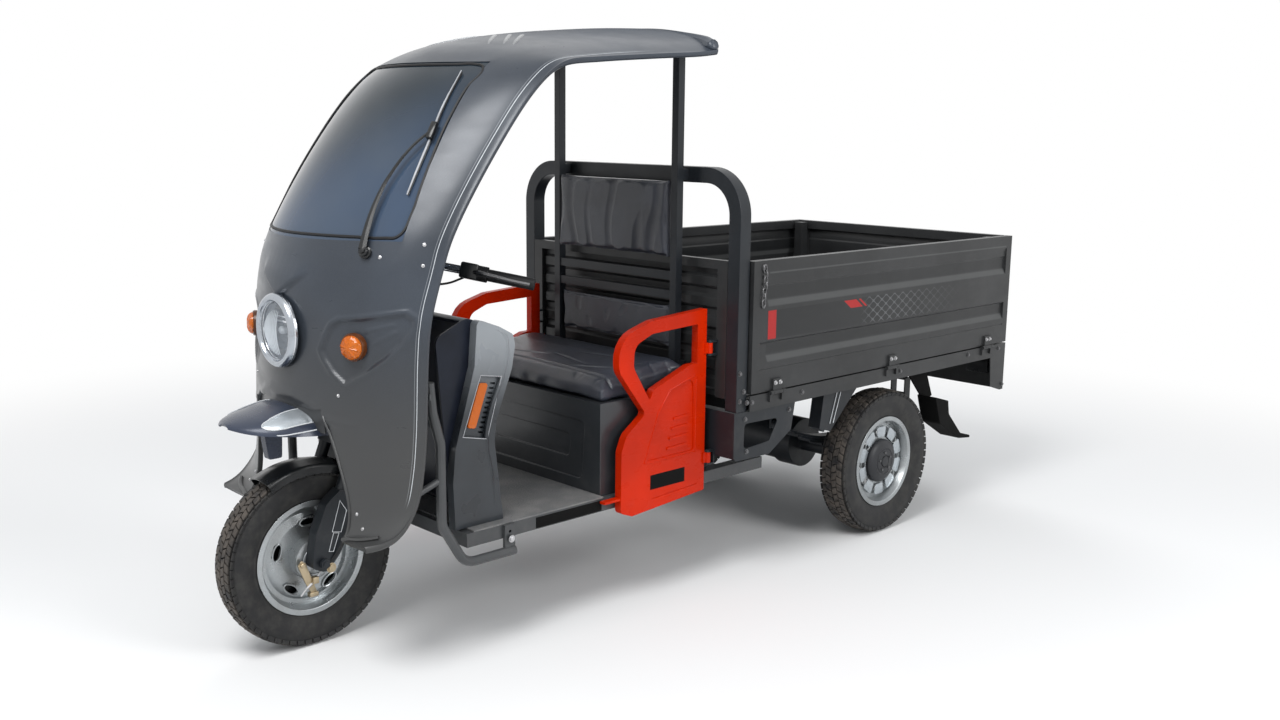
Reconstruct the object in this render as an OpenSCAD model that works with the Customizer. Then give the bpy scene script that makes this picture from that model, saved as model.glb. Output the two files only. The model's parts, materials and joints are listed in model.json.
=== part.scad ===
// Electric cargo tricycle with a moulded cab shell, hinged side guards and a drop-side bed.
// Millimetres. Front is -Y, the vehicle's left is +X, up is +Z.
// The origin is on the ground, half way along the vehicle and on its centre line.

/* [Overall] */
// Distance from the front axle to the rear axle
wheelbase = 2067; // [1750:1:2600]
// Bed's rear face behind the rear axle
rear_overhang = 783.5; // [640:0.5:950]
// Outer length of the bed
bed_l = 1590; // [1450:1:1700]
// Outer width of the bed over its side gates
bed_w = 1086; // [1060:1:1320]
// Top of the bed's side rail above the ground
bed_z = 624; // [612:1:740]

/* [Wheels] */
// Outer radius of the front tyre
front_tyre_r = 257.5; // [240:0.5:262]
// Width of the front tyre
front_tyre_w = 92; // [76:1:104]
// Outer radius of the rear tyres
rear_tyre_r = 265; // [240:0.5:275]
// Width of a rear tyre
rear_tyre_w = 106; // [88:1:112]
// Radius of the rim flange, the same on all wheels
rim_r = 167.5; // [150:0.5:172]
// Distance between the centres of the rear tyres
rear_track = 966; // [930:1:972]
// Radius of the front wheel's axle
axle_r = 8; // [6:0.5:12]
// Radius of the rear stub axles
stub_r = 17; // [14:0.5:24]
// Radial running clearance of a wheel on its axle
axle_gap = 0.05; // [0.02:0.01:0.09]

/* [Steering] */
// Rake of the steering axis from the vertical
rake = 22; // [18:0.5:26]
// Steering axis behind the axle, measured at the axle's height
fork_offset = 35; // [25:1:45]
// Distance between the centres of the fork legs
fork_w = 152; // [140:1:180]
// Diameter of a fork leg
fork_d = 38; // [32:1:46]
// Width of the handlebar over its grips
bar_w = 700; // [620:1:760]
// Height of the handlebar's clamp above the ground
bar_z = 1075; // [1050:1:1100]
// Diameter of the handlebar tube
bar_d = 25; // [22:1:28]

/* [Cab shell] */
// Half width of the shell at its rear edge
shell_x = 430; // [424:1:450]
// Wall thickness of the shell
shell_t = 10; // [7:1:14]
// Radius of the rolled rear edge
lip_r = 10; // [8:1:13]
// Height of the roof's crown at its rear end
roof_z = 1790; // [1700:1:1900]
// Thickness of the windscreen
glass_t = 5; // [4:1:7]
// Gap all round the windscreen
glass_gap = 0.4; // [0.2:0.1:2]

/* [Lamps] */
// Outer diameter of the headlamp's rim
head_d = 208; // [180:1:212]
// Height of the headlamp's centre
head_z = 912; // [900:1:926]
// Diameter of a turn signal's lens
signal_d = 66; // [50:1:76]
// Distance from the centre line to a turn signal
signal_x = 268; // [250:1:285]
// Height of the turn signals
signal_z = 893; // [870:1:915]

/* [Floor and console] */
// Top of the floor frame
frame_z = 355; // [335:1:375]
// Side of the floor frame's square tubes
frame_tube = 40; // [30:1:50]
// Outer half width of the floor frame
frame_x = 398; // [380:1:400]
// Thickness of the floor board
floor_t = 5; // [3:0.5:10]
// Half width of the console between its side trims
console_x = 335; // [310:1:345]
// Wall thickness of the console
console_t = 8; // [5:1:12]
// Width of each side trim
trim_w = 30; // [20:1:36]
// Diameter of the leg guard tubes
guard_tube_d = 28; // [22:1:32]

/* [Seat] */
// Half width of the seat box
seat_x = 380; // [340:1:390]
// Top of the seat box
seat_z = 645; // [600:1:690]
// Thickness of the seat cushion at its front
cushion_t = 58; // [45:1:75]
// Wall thickness of the seat box
seat_wall = 4; // [3:1:8]
// Front face of the seat box ahead of the bed
seat_front = 474; // [440:1:500]

/* [Side guards] */
// Thickness of a side guard
guard_t = 27; // [18:1:30]
// Inner face of a guard from the centre line
guard_x = 404; // [403:1:410]
// Width of the guard's loop
loop_w = 46; // [36:1:54]
// Radius of the guard's hinge pin
pin_r = 5; // [4:0.5:7]
// Radial running clearance on a hinge pin
pin_gap = 0.05; // [0.02:0.01:0.09]
// Depth of the recess in the guard's panel
recess_d = 4; // [2:1:8]

/* [Hoop and roof posts] */
// Outer half width of the hoop
hoop_x = 530; // [520:1:545]
// Height of the top of the hoop
hoop_z = 1345; // [1250:1:1450]
// Side of the hoop's square tube
hoop_tube = 50; // [40:1:56]
// Outer radius of the hoop's upper corners
hoop_r = 150; // [110:1:200]
// Side of a roof post
post_w = 28; // [22:1:34]
// Distance from the centre line to a roof post
post_x = 289; // [260:1:300]

/* [Bed] */
// Height of the gates above the side rail
gate_h = 432; // [300:1:460]
// Thickness of a gate
gate_t = 30; // [24:1:36]
// Thickness of the gates' and walls' sheet
sheet = 3; // [2:0.5:5]
// Depth of a pressed rib
rib_d = 9; // [6:1:14]
// Height of the bed's side rail
rail_h = 51; // [40:1:60]
// Width of the bed's side rail
rail_w = 44; // [36:1:50]
// Depth of the rear apron below the side rail
apron_h = 141; // [100:1:150]
// Distance from the centre line to a chassis rail
rail_x = 330; // [300:1:345]
// Depth of the chassis rails
rail_d = 60; // [45:1:70]
// Radius of the gates' hinge barrels
barrel_r = 7; // [6:0.5:8]
// Side of the rear corner posts
corner_w = 40; // [30:1:44]
// Distance between the number plate's two holes
plate_hole = 160; // [120:1:200]
// Radius of the number plate's holes
plate_hole_r = 3.25; // [2.5:0.25:4.5]

/* [Clearances] */
// Gap between a moving panel and what it passes
move_gap = 5; // [5:0.5:8]
// Gap between pieces that rest on each other
seat_gap = 0.3; // [0.2:0.1:0.5]

/* [Hidden] */
$fn = 48;
eps = 0.01;

// Stations along the vehicle: front axle, rear axle, the bed's two ends.
fy = front_tyre_r - (front_tyre_r + wheelbase + rear_overhang) / 2;
ry = fy + wheelbase;
by1 = ry + rear_overhang;
by = by1 - bed_l;

// ---------------------------------------------------------------- helpers
function unit(v) = v / norm(v);
function mix(a, b, t) = a + (b - a) * t;

// One corner of an outline [x, y, r], rounded to its radius r with n steps.
function corner(a, b, c, n) =
    b[2] <= 0 ? [[b[0], b[1]]] :
    let (p = [b[0], b[1]], u = unit([a[0], a[1]] - p), v = unit([c[0], c[1]] - p),
         half = acos(max(-1, min(1, u * v))) / 2, d = b[2] / tan(half),
         m = p + unit(u + v) * (b[2] / sin(half)), s = p + u * d - m, e = p + v * d - m,
         a0 = atan2(s[1], s[0]), turn = atan2(s[0] * e[1] - s[1] * e[0], s * e))
    [for (i = [0:n]) m + b[2] * [cos(a0 + turn * i / n), sin(a0 + turn * i / n)]];
function rounded(pts, n = 5) =
    let (k = len(pts))
    [for (i = [0:k - 1]) for (q = corner(pts[(i + k - 1) % k], pts[i], pts[(i + 1) % k], n)) q];

// A point on a smooth curve through rows of values, at the real number u.
function spline(rows, u) =
    let (k = len(rows) - 1, i = min(k - 1, max(0, floor(u))), t = u - i,
         p0 = rows[max(0, i - 1)], p1 = rows[i], p2 = rows[i + 1], p3 = rows[min(k, i + 2)])
    0.5 * (2 * p1 + (p2 - p0) * t + (2 * p0 - 5 * p1 + 4 * p2 - p3) * t * t
           + (3 * p1 - p0 - 3 * p2 + p3) * t * t * t);

// A solid through closed rings of points, each with the same even count. Its end caps are strips
// between point j and point n - 1 - j, so a thin bent ring closes too.
module loft(rings) {
    n = len(rings[0]);
    m = len(rings);
    pts = [for (r = rings) for (p = r) p];
    side = [for (i = [0:m - 2]) for (j = [0:n - 1])
        let (a = i * n + j, b = i * n + (j + 1) % n, c = a + n, d = b + n)
        each [[a, b, d], [a, d, c]]];
    caps = [for (j = [0:n / 2 - 2])
        let (a = j, b = j + 1, c = n - 2 - j, d = n - 1 - j, e = (m - 1) * n)
        each [[a, c, b], [a, d, c], [e + a, e + b, e + c], [e + a, e + c, e + d]]];
    polyhedron(pts, concat(side, caps), convexity = 8);
}

// A round bar from point a to point b.
module rod(a, b, r) {
    d = b - a;
    translate(a) rotate([0, acos(d[2] / norm(d)), atan2(d[1], d[0])]) cylinder(r = r, h = norm(d));
}

// A path through points p whose corners are rounded to the radius rb with n steps.
function bent(p, rb, n = 5) = let (k = len(p) - 1) [for (i = [0:k]) each i == 0 || i == k ? [p[i]] :
    let (u = unit(p[i - 1] - p[i]), v = unit(p[i + 1] - p[i]), half = acos(u * v) / 2,
         c = p[i] + unit(u + v) * rb / sin(half), a = p[i] + u * rb / tan(half) - c,
         b = p[i] + v * rb / tan(half) - c, w = 180 - 2 * half)
    [for (t = [0:n]) c + (a * sin(w * (1 - t / n)) + b * sin(w * t / n)) / sin(w)]];
// A round tube of radius r swept along a path; up is any direction the path never takes.
module pipe(path, r, up, sides = 12) {
    k = len(path) - 1;
    function way(i) = unit(unit(path[min(k, i + 1)] - path[i == k ? k - 1 : i]) + unit(path[i == 0 ? 1 : i] - path[max(0, i - 1)]));
    loft([for (i = [0:k]) let (w = way(i), a = unit(cross(w, up)), b = cross(a, w))
        [for (j = [0:sides - 1]) path[i] + r * (cos(360 * j / sides) * a + sin(360 * j / sides) * b)]]);
}

// A box between two opposite corners.
module box(a, b) { translate(a) cube(b - a); }
// An outline in (y, z) made t thick along +X from x.
module side_plate(x, t) { translate([x, 0, 0]) rotate([90, 0, 90]) linear_extrude(t) children(); }
// The children and their mirror image across the centre line.
module both() { children(); mirror([1, 0, 0]) children(); }
// Copies a child of the left side to side s, 1 for left and -1 for right.
module on_side(s) { if (s > 0) children(); else mirror([1, 0, 0]) children(); }

// ---------------------------------------------------------------- cab shell
// Rows from the leg shield's hem up to the roof's rear end: centre line y and z, rear edge
// y and z, half width at the edge, and half width of the wheel arch or of the windscreen.
lift = roof_z - 1790;
shell_rows = [
    [fy - 36,  368,  fy - 46,  388, shell_x - 38, 268],
    [fy - 40,  400,  fy + 22,  402, shell_x - 6,  262],
    [fy - 46,  450,  fy + 82,  470, shell_x, 250],
    [fy - 54,  545,  fy + 107, 560, shell_x, 226],
    [fy - 58,  640,  fy + 118, 650, shell_x, 196],
    [fy - 58,  715,  fy + 123, 730, shell_x, 172],
    [fy - 50,  860,  fy + 129, 866, shell_x, 180],
    [fy - 50,  968,  fy + 142, 973, shell_x, 180],
    [fy - 48,  1080, fy + 178, 1085, shell_x, 325],
    [fy - 16,  1165, fy + 209, 1172, shell_x, 350],
    [fy + 77,  1316, fy + 279, 1290, shell_x, 335],
    [fy + 174, 1450, fy + 379, 1430, shell_x, 318],
    [fy + 270, 1560, fy + 482, 1556 + lift / 2, shell_x, 300],
    [fy + 369, 1640 + lift, fy + 587, 1639 + lift, shell_x, 287],
    [fy + 494, 1700 + lift, fy + 700, 1656 + lift, shell_x, 285],
    [by - 547, 1742 + lift, by - 407, 1670 + lift, shell_x, 285],
    [by - 307, 1768 + lift, by - 227, 1684 + lift, shell_x, 285],
    [by - 137, 1782 + lift, by - 117, 1692 + lift, shell_x, 285],
    [by + 43,  1790 + lift, by - 42, 1702 + lift, shell_x, 285]];
arch_row = 5;
pane_row0 = 9;
pane_row1 = 13;
lamp_row0 = 6;
lamp_row1 = 7;
// Steps between rows, and columns across the middle and beyond it on each side.
row_steps = 2;
mid_cols = 6;
side_cols = 6;
cols = mid_cols + 2 * side_cols;
stations = (len(shell_rows) - 1) * row_steps;

// How far a section has gone from the centre line to the rear edge at x = s times its half width.
function section(s) = 0.85 * pow(abs(s), 1.8) + 0.15 * pow(abs(s), 10);
// The shell's outer surface at station u and across at x.
function on_shell(u, x) =
    let (r = spline(shell_rows, u), d = section(x / r[4]))
    [x, mix(r[0], r[2], d), mix(r[1], r[3], d)];
// Where column j lies across the shell at station u.
function col_x(u, j) =
    let (r = spline(shell_rows, u), k = j - cols / 2, m = mid_cols / 2, a = abs(k))
    sign(k) * (a <= m ? r[5] * a / m : mix(r[5], r[4], (a - m) / side_cols));
function shell_normal(u, x) =
    let (h = 0.05, w = 2, a = on_shell(min(u + h, len(shell_rows) - 1), x), b = on_shell(max(u - h, 0), x),
         c = on_shell(u, x + w), d = on_shell(u, x - w))
    unit(cross(c - d, a - b));
// The surface at a station's grid point, moved in by depth e.
function shell_point(i, j, e) =
    let (u = i / row_steps, x = col_x(u, j)) on_shell(u, x) - shell_normal(u, x * 0.995) * e;

module cab_shell_body() {
    n = cols + 1;
    lip = 4;
    // Outer points left to right, the rolled right edge, inner points back, the rolled left edge.
    function edge(i, j, way) =
        let (p = shell_point(i, j, 0), q = shell_point(i, j - way, 0), nn = shell_normal(i / row_steps, p[0] * 0.995),
             t = unit((p - q) - ((p - q) * nn) * nn), c = p - nn * shell_t / 2)
        [for (a = [60, 20, -20, -60]) c + lip_r * (cos(a) * t + sin(a) * nn)];
    function ring(i) = concat(
        [for (j = [0:cols]) shell_point(i, j, 0)],
        edge(i, cols, 1),
        [for (j = [cols:-1:0]) shell_point(i, j, shell_t)],
        let (e = edge(i, 0, -1)) [e[3], e[2], e[1], e[0]]);
    size = 2 * n + 2 * lip;
    pts = [for (i = [0:stations]) for (p = ring(i)) p];
    function outer(i, j) = i * size + j;
    function inner(i, j) = i * size + n + lip + (cols - j);
    m0 = side_cols;
    m1 = side_cols + mid_cols;
    // The holes: wheel arch, headlamp, windscreen, each as rows and columns left out.
    holes = [[0, arch_row * row_steps, m0, m1],
             [lamp_row0 * row_steps, lamp_row1 * row_steps, m0 + 2, m1 - 2],
             [pane_row0 * row_steps, pane_row1 * row_steps, m0, m1]];
    function open(i, j) = len([for (h = holes) if (i >= h[0] && i < h[1] && j >= h[2] && j < h[3]) 1]) > 0;
    function quad(a, b, c, d) = [[a, c, b], [a, d, c]];
    skin = [for (i = [0:stations - 1]) for (k = [0:size - 1])
        let (nxt = (k + 1) % size, j = k < cols ? k : k >= n + lip && k < n + lip + cols ? cols - 1 - (k - n - lip) : -1)
        if (j < 0 || !open(i, j))
            each quad(i * size + k, i * size + nxt, (i + 1) * size + nxt, (i + 1) * size + k)];
    walls = [for (h = holes) each concat(
        [for (i = [h[0]:h[1] - 1]) each quad(outer(i, h[2]), inner(i, h[2]), inner(i + 1, h[2]), outer(i + 1, h[2]))],
        [for (i = [h[0]:h[1] - 1]) each quad(outer(i + 1, h[3]), inner(i + 1, h[3]), inner(i, h[3]), outer(i, h[3]))],
        [for (j = [h[2]:h[3] - 1]) each quad(outer(h[1], j), inner(h[1], j), inner(h[1], j + 1), outer(h[1], j + 1))],
        h[0] == 0 ? [] :
        [for (j = [h[2]:h[3] - 1]) each quad(outer(h[0], j + 1), inner(h[0], j + 1), inner(h[0], j), outer(h[0], j))])];
    function end(i, flip) = concat(
        [for (j = [0:cols - 1]) if (!open(i, j))
            each flip ? quad(outer(i, j + 1), outer(i, j), inner(i, j), inner(i, j + 1))
                      : quad(outer(i, j), outer(i, j + 1), inner(i, j + 1), inner(i, j))],
        [for (e = [0, 1]) let (s = e == 0 ? outer(i, cols) : inner(i, 0),
                               o = e == 0 ? inner(i, cols) : outer(i, 0))
            each [for (k = [0:lip - 1])
                flip ? [s + k, s + k + 1, o] : [s + k + 1, s + k, o]]]);
    polyhedron(pts, concat(skin, walls, end(0, true), end(stations, false)), convexity = 12);
}
module cab_shell() { color("#53585c") cab_shell_body(); }

// The windscreen fills its opening between the outer and the inner face of the shell.
module windscreen() {
    u0 = pane_row0 + glass_gap / 170;
    u1 = pane_row1 - glass_gap / 120;
    function pane(u, k, e) =
        let (i = floor(min(u, u1) * row_steps), f = u * row_steps - i,
             shrink = 1 - glass_gap / 290, j = side_cols + k,
             a = shell_point(i, j, e), b = shell_point(i + 1, j, e), p = mix(a, b, f))
        [p[0] * shrink, p[1], p[2]];
    us = concat([u0], [for (i = [pane_row0 * row_steps + 1:pane_row1 * row_steps - 1]) i / row_steps], [u1]);
    e0 = (shell_t - glass_t) / 2;
    color([0.35, 0.4, 0.42, 0.45])
        loft([for (u = us) concat([for (k = [0:mid_cols]) pane(u, k, e0)],
                                  [for (k = [mid_cols:-1:0]) pane(u, k, e0 + glass_t)])]);
}

// ---------------------------------------------------------------- lamps and wiper
head_y = min([for (u = [lamp_row0 - 0.4:0.2:lamp_row1 + 0.6]) on_shell(u, 0)[1]]) - seat_gap;
module headlamp() {
    color("#c9ccd0") translate([0, head_y, head_z]) rotate([90, 0, 0]) rotate_extrude()
        polygon(rounded([[head_d / 2 - 26, 0, 0], [head_d / 2 - 4, 0, 0], [head_d / 2, 4, 3],
                         [head_d / 2 - 3, 12, 5], [head_d / 2 - 12, 16, 4], [head_d / 2 - 17, 12, 3],
                         [head_d / 2 - 26, 6, 3]], 4));
}
module headlamp_lens() {
    r = head_d / 2 - 27;
    color([0.92, 0.94, 0.96, 0.6]) translate([0, head_y, head_z]) rotate([90, 0, 0]) rotate_extrude()
        polygon(concat([[0, -30], [36, -30], [50, -14], [50, 0], [r, 0]],
                       [for (a = [0:15:90]) [r * cos(a), 5 + 10 * sin(a)]]));
}
module turn_signals() {
    p = on_shell(lamp_row0 + 0.33, signal_x);
    n = shell_normal(lamp_row0 + 0.33, signal_x);
    color("#e08a1e") both() translate([p[0], p[1], signal_z] + n * 0.6)
        rotate([0, acos(n[2]), atan2(n[1], n[0])]) rotate_extrude()
            polygon(concat([[0, 0], [signal_d / 2 + 4, 0], [signal_d / 2 + 4, 6], [signal_d / 2, 8]],
                           [for (a = [15:15:90]) [signal_d / 2 * cos(a), 8 + 20 * sin(a)]]));
}
// The wiper's pivot, the arm's end at the middle of the blade, and the blade's two ends: u and x.
wiper_pts = [[pane_row0 - 0.44, 281], [pane_row0 + 2, 298], [pane_row0 + 0.85, 320], [pane_row0 + 3.35, 266]];
module wiper() {
    function above(p, e) = on_shell(p[0], p[1]) + shell_normal(p[0], p[1]) * e;
    module bar(p, ep, rp, q, eq, rq) {
        hull() {
            translate(above(p, ep)) sphere(r = rp, $fn = 16);
            translate(above(q, eq)) sphere(r = rq, $fn = 16);
        }
    }
    pivot = wiper_pts[0];
    middle = wiper_pts[1];
    n = shell_normal(pivot[0], pivot[1]);
    color("#1c1d1f") {
        translate(above(pivot, -2.2)) rotate([0, acos(n[2]), atan2(n[1], n[0])]) cylinder(d = 30, h = 20);
        bar(pivot, 16, 9, middle, 14, 4);
        bar(wiper_pts[2], 8, 4, middle, 10, 6);
        bar(middle, 10, 6, wiper_pts[3], 8, 4);
    }
}

// ---------------------------------------------------------------- beak fender
// Sections from the arch to the tip: y, half width, crown height, height of the hem.
beak_rows = [
    [fy + 40,  158, 707, 634],
    [fy - 20,  160, 713.5, 640],
    [fy - 80,  156, 713.5, 646],
    [fy - 130, 138, 702, 650],
    [fy - 175, 108, 692, 654],
    [fy - 208, 70,  682, 660],
    [fy - 226, 26,  675, 665]];
beak_t = 6;
beak_stay = 26;
module beak_fender() {
    n = 8;
    function arc(r, e) = [for (k = [0:n]) let (a = 180 * k / n)
        [-(r[1] - e) * cos(a), r[0], mix(r[3], r[2] - e, pow(sin(a), 0.9))]];
    function back(r, e) = [for (k = [n:-1:0]) let (a = 180 * k / n)
        [-(r[1] - e) * cos(a), r[0] + e / 2, mix(r[3], r[2] - e, pow(sin(a), 0.9))]];
    color("#5c6166") {
        loft([for (i = [0:2 * (len(beak_rows) - 1)])
            let (r = spline(beak_rows, i / 2)) concat(arc(r, 0), back(r, beak_t))]);
        // The stay under it.
        side_plate(-beak_stay / 2, beak_stay) polygon(rounded([
            [fy - 126, 699, 0], [fy - 60, 709.5, 0], [fy - 66, 558, 6], [fy - 106, 558, 6]], 3));
    }
}

// ---------------------------------------------------------------- steering
// A point on the steering axis at height z above the ground.
function steer_y(z) = fy + fork_offset + tan(rake) * (z - front_tyre_r);
head_z0 = 600;
head_z1 = 740;
head_r = 27;
stem_r = 16;
// Children drawn about the steering axis, with the axis as Z and z = 0 at the axle's height.
module steer_frame() {
    translate([0, steer_y(front_tyre_r), front_tyre_r]) rotate([-rake, 0, 0]) children();
}
function along(z) = (z - front_tyre_r) / cos(rake);
leg_y = -fork_offset * cos(rake);
axle_a = -fork_offset * sin(rake);
// Outer radius of the inner mudguard.
mudguard_r = front_tyre_r + 28;
crown_a = along(head_z0) - 34;
module fork() {
    color("#17181a") {
        steer_frame() {
            translate([0, 0, crown_a]) cylinder(r = stem_r, h = along(bar_z) - crown_a - 2 * bar_d);
            translate([0, 0, crown_a]) difference() {
                box([-fork_w / 2 - fork_d / 2, leg_y - fork_d / 2, -26], [fork_w / 2 + fork_d / 2, stem_r + 4, 0]);
                for (s = [-1, 1]) translate([s * fork_w / 2, leg_y, -40]) cylinder(d = fork_d, h = 60);
            }
            // The block that the mudguard is bolted to.
            box([-22, leg_y - 16, axle_a + mudguard_r - 1], [22, leg_y + 16, crown_a - 25]);
            for (s = [-1, 1]) {
                // The flat cover over the leg's lower end.
                side_plate(s * fork_w / 2 - fork_d / 2 - 1, fork_d + 2) translate([leg_y, 0]) polygon(rounded([
                    [-28, -36, 20], [24, -36, 20], [46, 24, 30], [53, 88, 26], [44, 126, 20], [18, 176, 20],
                    [18, 196, 4], [-18, 196, 4], [-46, 148, 30], [-48, 60, 40], [-34, -4, 20]], 4));
                translate([s * fork_w / 2, leg_y, 140]) cylinder(d = fork_d, h = crown_a - 134);
            }
        }
        // The wheel's axle, through the lower ends of the legs.
        translate([-fork_w / 2 - 40, fy, front_tyre_r]) rotate([0, 90, 0]) cylinder(r = axle_r, h = fork_w + 80);
        for (s = [-1, 1]) translate([s * (fork_w / 2 + 25), fy, front_tyre_r]) rotate([0, s * 90, 0])
            cylinder(r = 15, h = 12, $fn = 6);
        for (s = [-1, 1]) translate([s * fork_w / 2 - fork_d / 2, fy, front_tyre_r]) rotate([0, 90, 0])
            cylinder(r = 24, h = fork_d);
    }
}
bar_c = [0, steer_y(bar_z), bar_z];
// The handlebar lies in a plane that falls towards its grips.
bar_tilt = 15;
bar_sweep = 150;
module handlebar() {
    color("#b9bcc0") {
        translate(bar_c) rotate([-bar_tilt, 0, 0]) {
            pipe(bent([[-bar_w / 2 + 8, bar_sweep + 50, 0], [-150, 10, 0], [150, 10, 0], [bar_w / 2 - 8, bar_sweep + 50, 0]], 60),
                 bar_d / 2, [0, 0, 1], 16);
        }
    }
    color("#1c1d1f") {
        steer_frame() translate([0, 0, along(bar_z) - 2 * bar_d - 0]) cylinder(r = stem_r + 6, h = 2 * bar_d - 4);
        translate(bar_c) rotate([-bar_tilt, 0, 0]) translate([0, 10, 0]) rotate([0, 90, 0])
            translate([0, 0, -45]) cylinder(r = bar_d / 2 + 8, h = 90);
    }
}
module grips() {
    a = [150, 10];
    b = [bar_w / 2 - 8, bar_sweep + 50];
    w = unit(b - a);
    color("#26282b") both() translate(bar_c) rotate([-bar_tilt, 0, 0]) {
        difference() {
            union() {
                rod([b[0], b[1], 0] - 128 * [w[0], w[1], 0], [b[0], b[1], 0] + 6 * [w[0], w[1], 0], bar_d / 2 + 5);
                rod([b[0], b[1], 0] - 172 * [w[0], w[1], 0], [b[0], b[1], 0] - 130 * [w[0], w[1], 0], bar_d / 2 + 10);
            }
            rod([b[0], b[1], 0] - 180 * [w[0], w[1], 0], [b[0], b[1], 0], bar_d / 2 + axle_gap);
        }
    }
}
// The inner mudguard, a channel bent round the tyre.
module front_mudguard() {
    r0 = mudguard_r - 12;
    w = (fork_w - fork_d) / 2 - 3;
    color("#1d1f22") translate([0, fy, front_tyre_r]) rotate([0, 90, 0]) rotate([0, 0, 128])
        rotate_extrude(angle = 81) difference() {
            polygon(rounded([[r0 - 26, -w, 0], [r0, -w, 12], [r0 + 12, 0, 60], [r0, w, 12], [r0 - 26, w, 0],
                             [r0 - 26, w - 3, 0], [r0 - 3, w - 3, 10], [r0 + 9, 0, 60], [r0 - 3, -w + 3, 10],
                             [r0 - 26, -w + 3, 0]], 3));
        }
}

// ---------------------------------------------------------------- wheels
module tyre(r, w) {
    color("#222427") rotate([0, 90, 0]) rotate_extrude($fn = 96) polygon(rounded([
        [rim_r - 13 + seat_gap, -w * 0.33, 0], [rim_r + 4, -w * 0.36, 4], [(r + rim_r) / 2, -w * 0.5, 24],
        [r - 14, -w * 0.44, 8], [r, -w * 0.28, 8], [r, w * 0.28, 8], [r - 14, w * 0.44, 8],
        [(r + rim_r) / 2, w * 0.5, 24], [rim_r + 4, w * 0.36, 4], [rim_r - 13 + seat_gap, w * 0.33, 0]], 3));
}
// A pressed steel rim: barrel, dished disc with oval vents and a hub.
module rim(w, bore, hub_r, hub_w, face, vents) {
    s = sign(face);
    color("#b4b7ba") difference() {
        union() {
            rotate([0, 90, 0]) rotate_extrude($fn = 96) polygon(rounded([
                [rim_r - 20, -w * 0.30, 2], [rim_r - 13, -w * 0.30, 2], [rim_r - 13, -w * 0.37, 1],
                [rim_r, -w * 0.37, 2], [rim_r, -w * 0.40, 1], [rim_r - 16, -w * 0.40, 3],
                [rim_r - 26, -w * 0.16, 5], [rim_r - 26, w * 0.16, 5],
                [rim_r - 16, w * 0.40, 3], [rim_r, w * 0.40, 1], [rim_r, w * 0.37, 2],
                [rim_r - 13, w * 0.37, 1], [rim_r - 13, w * 0.30, 2], [rim_r - 20, w * 0.30, 2],
                [rim_r - 22, w * 0.10, 5], [rim_r - 22, -w * 0.10, 5]], 3));
            rotate([0, 90, 0]) rotate_extrude($fn = 96) polygon(rounded([
                [hub_r - 2, face - 4 * s, 0], [rim_r - 60, face - 4 * s, 8], [rim_r - 40, face - 16 * s, 8],
                [rim_r - 25, face - 16 * s, 0], [rim_r - 25, face - 20 * s, 0], [rim_r - 43, face - 20 * s, 8],
                [rim_r - 62, face - 8 * s, 8], [hub_r - 2, face - 8 * s, 0]], 4));
            rotate([0, 90, 0]) cylinder(r = hub_r, h = hub_w, center = true);
        }
        rotate([0, 90, 0]) cylinder(r = bore, h = hub_w * 3, center = true);
        for (k = [0:vents - 1]) rotate([k * 360 / vents, 0, 0])
            translate([face - 40, 0, rim_r - 64]) rotate([90, 0, 90]) linear_extrude(80) oval(46, 20);
    }
}
module oval(l, w) {
    square([l - w, w], center = true);
    for (s = [-1, 1]) translate([s * (l - w) / 2, 0]) circle(d = w);
}
module front_tyre() { translate([0, fy, front_tyre_r]) tyre(front_tyre_r, front_tyre_w); }
module front_rim() {
    translate([0, fy, front_tyre_r]) rim(front_tyre_w, axle_r + axle_gap, 62, fork_w - fork_d - 12, 20, 5);
}
module rear_tyre(s) { translate([s * rear_track / 2, ry, rear_tyre_r]) tyre(rear_tyre_r, rear_tyre_w); }
module rear_rim(s) {
    translate([s * rear_track / 2, ry, rear_tyre_r]) rim(rear_tyre_w, stub_r + axle_gap, 48, 84, s * 22, 8);
}
module rear_tyre_left() { rear_tyre(1); }
module rear_tyre_right() { rear_tyre(-1); }
module rear_rim_left() { rear_rim(1); }
module rear_rim_right() { rear_rim(-1); }

// ---------------------------------------------------------------- chassis
frame_z0 = frame_z - frame_tube;
frame_y0 = fy + 276;
seat_y0 = by - seat_front;
step_y1 = by + 262;
rail_z1 = bed_z - 59;
rail_z0 = rail_z1 - rail_d;
module chassis_frame() {
    color("#303338") {
        // Floor frame: two side rails and its cross members.
        both() box([frame_x - frame_tube, frame_y0, frame_z0], [frame_x, step_y1, frame_z]);
        for (y = [fy + 280, seat_y0 - 60, seat_y0 + 130, by - 120])
            box([-frame_x, y, frame_z0], [frame_x, y + frame_tube, frame_z]);
        // Struts up to the bed's rails.
        both() {
            box([rail_x - 20, by + 30, frame_z0], [rail_x + 20, by + 70, rail_z0 + 5]);
            box([rail_x + 10, by + 30, frame_z0], [frame_x - frame_tube + 5, by + 70, frame_z]);
            side_plate(rail_x - 3, 6) polygon([[by + 60, frame_z + 5], [by + 60, rail_z0 + 5], [by + 230, rail_z0 + 5]]);
            box([rail_x - 20, by + 6, rail_z0], [rail_x + 20, by1 - 60, rail_z1]);
        }
        for (y = [by + 120, ry - 330, ry + 330, by1 - 130])
            box([-rail_x, y, rail_z0 + 10], [rail_x, y + 40, rail_z1 - 10]);
        // Head tube and the down tube that carries it.
        difference() {
            union() {
                steer_frame() translate([0, 0, along(head_z0)]) cylinder(r = head_r, h = along(head_z1) - along(head_z0));
                rod([0, steer_y(690), 690], [0, fy + 277, frame_z - 22], 18);
            }
            steer_frame() cylinder(r = stem_r + 1, h = along(head_z1) + 40);
        }
    }
}
module floor_board() {
    color("#4a4d50") box([-frame_x, fy + 300, frame_z], [frame_x, seat_y0 - seat_gap, frame_z + floor_t]);
}
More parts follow.
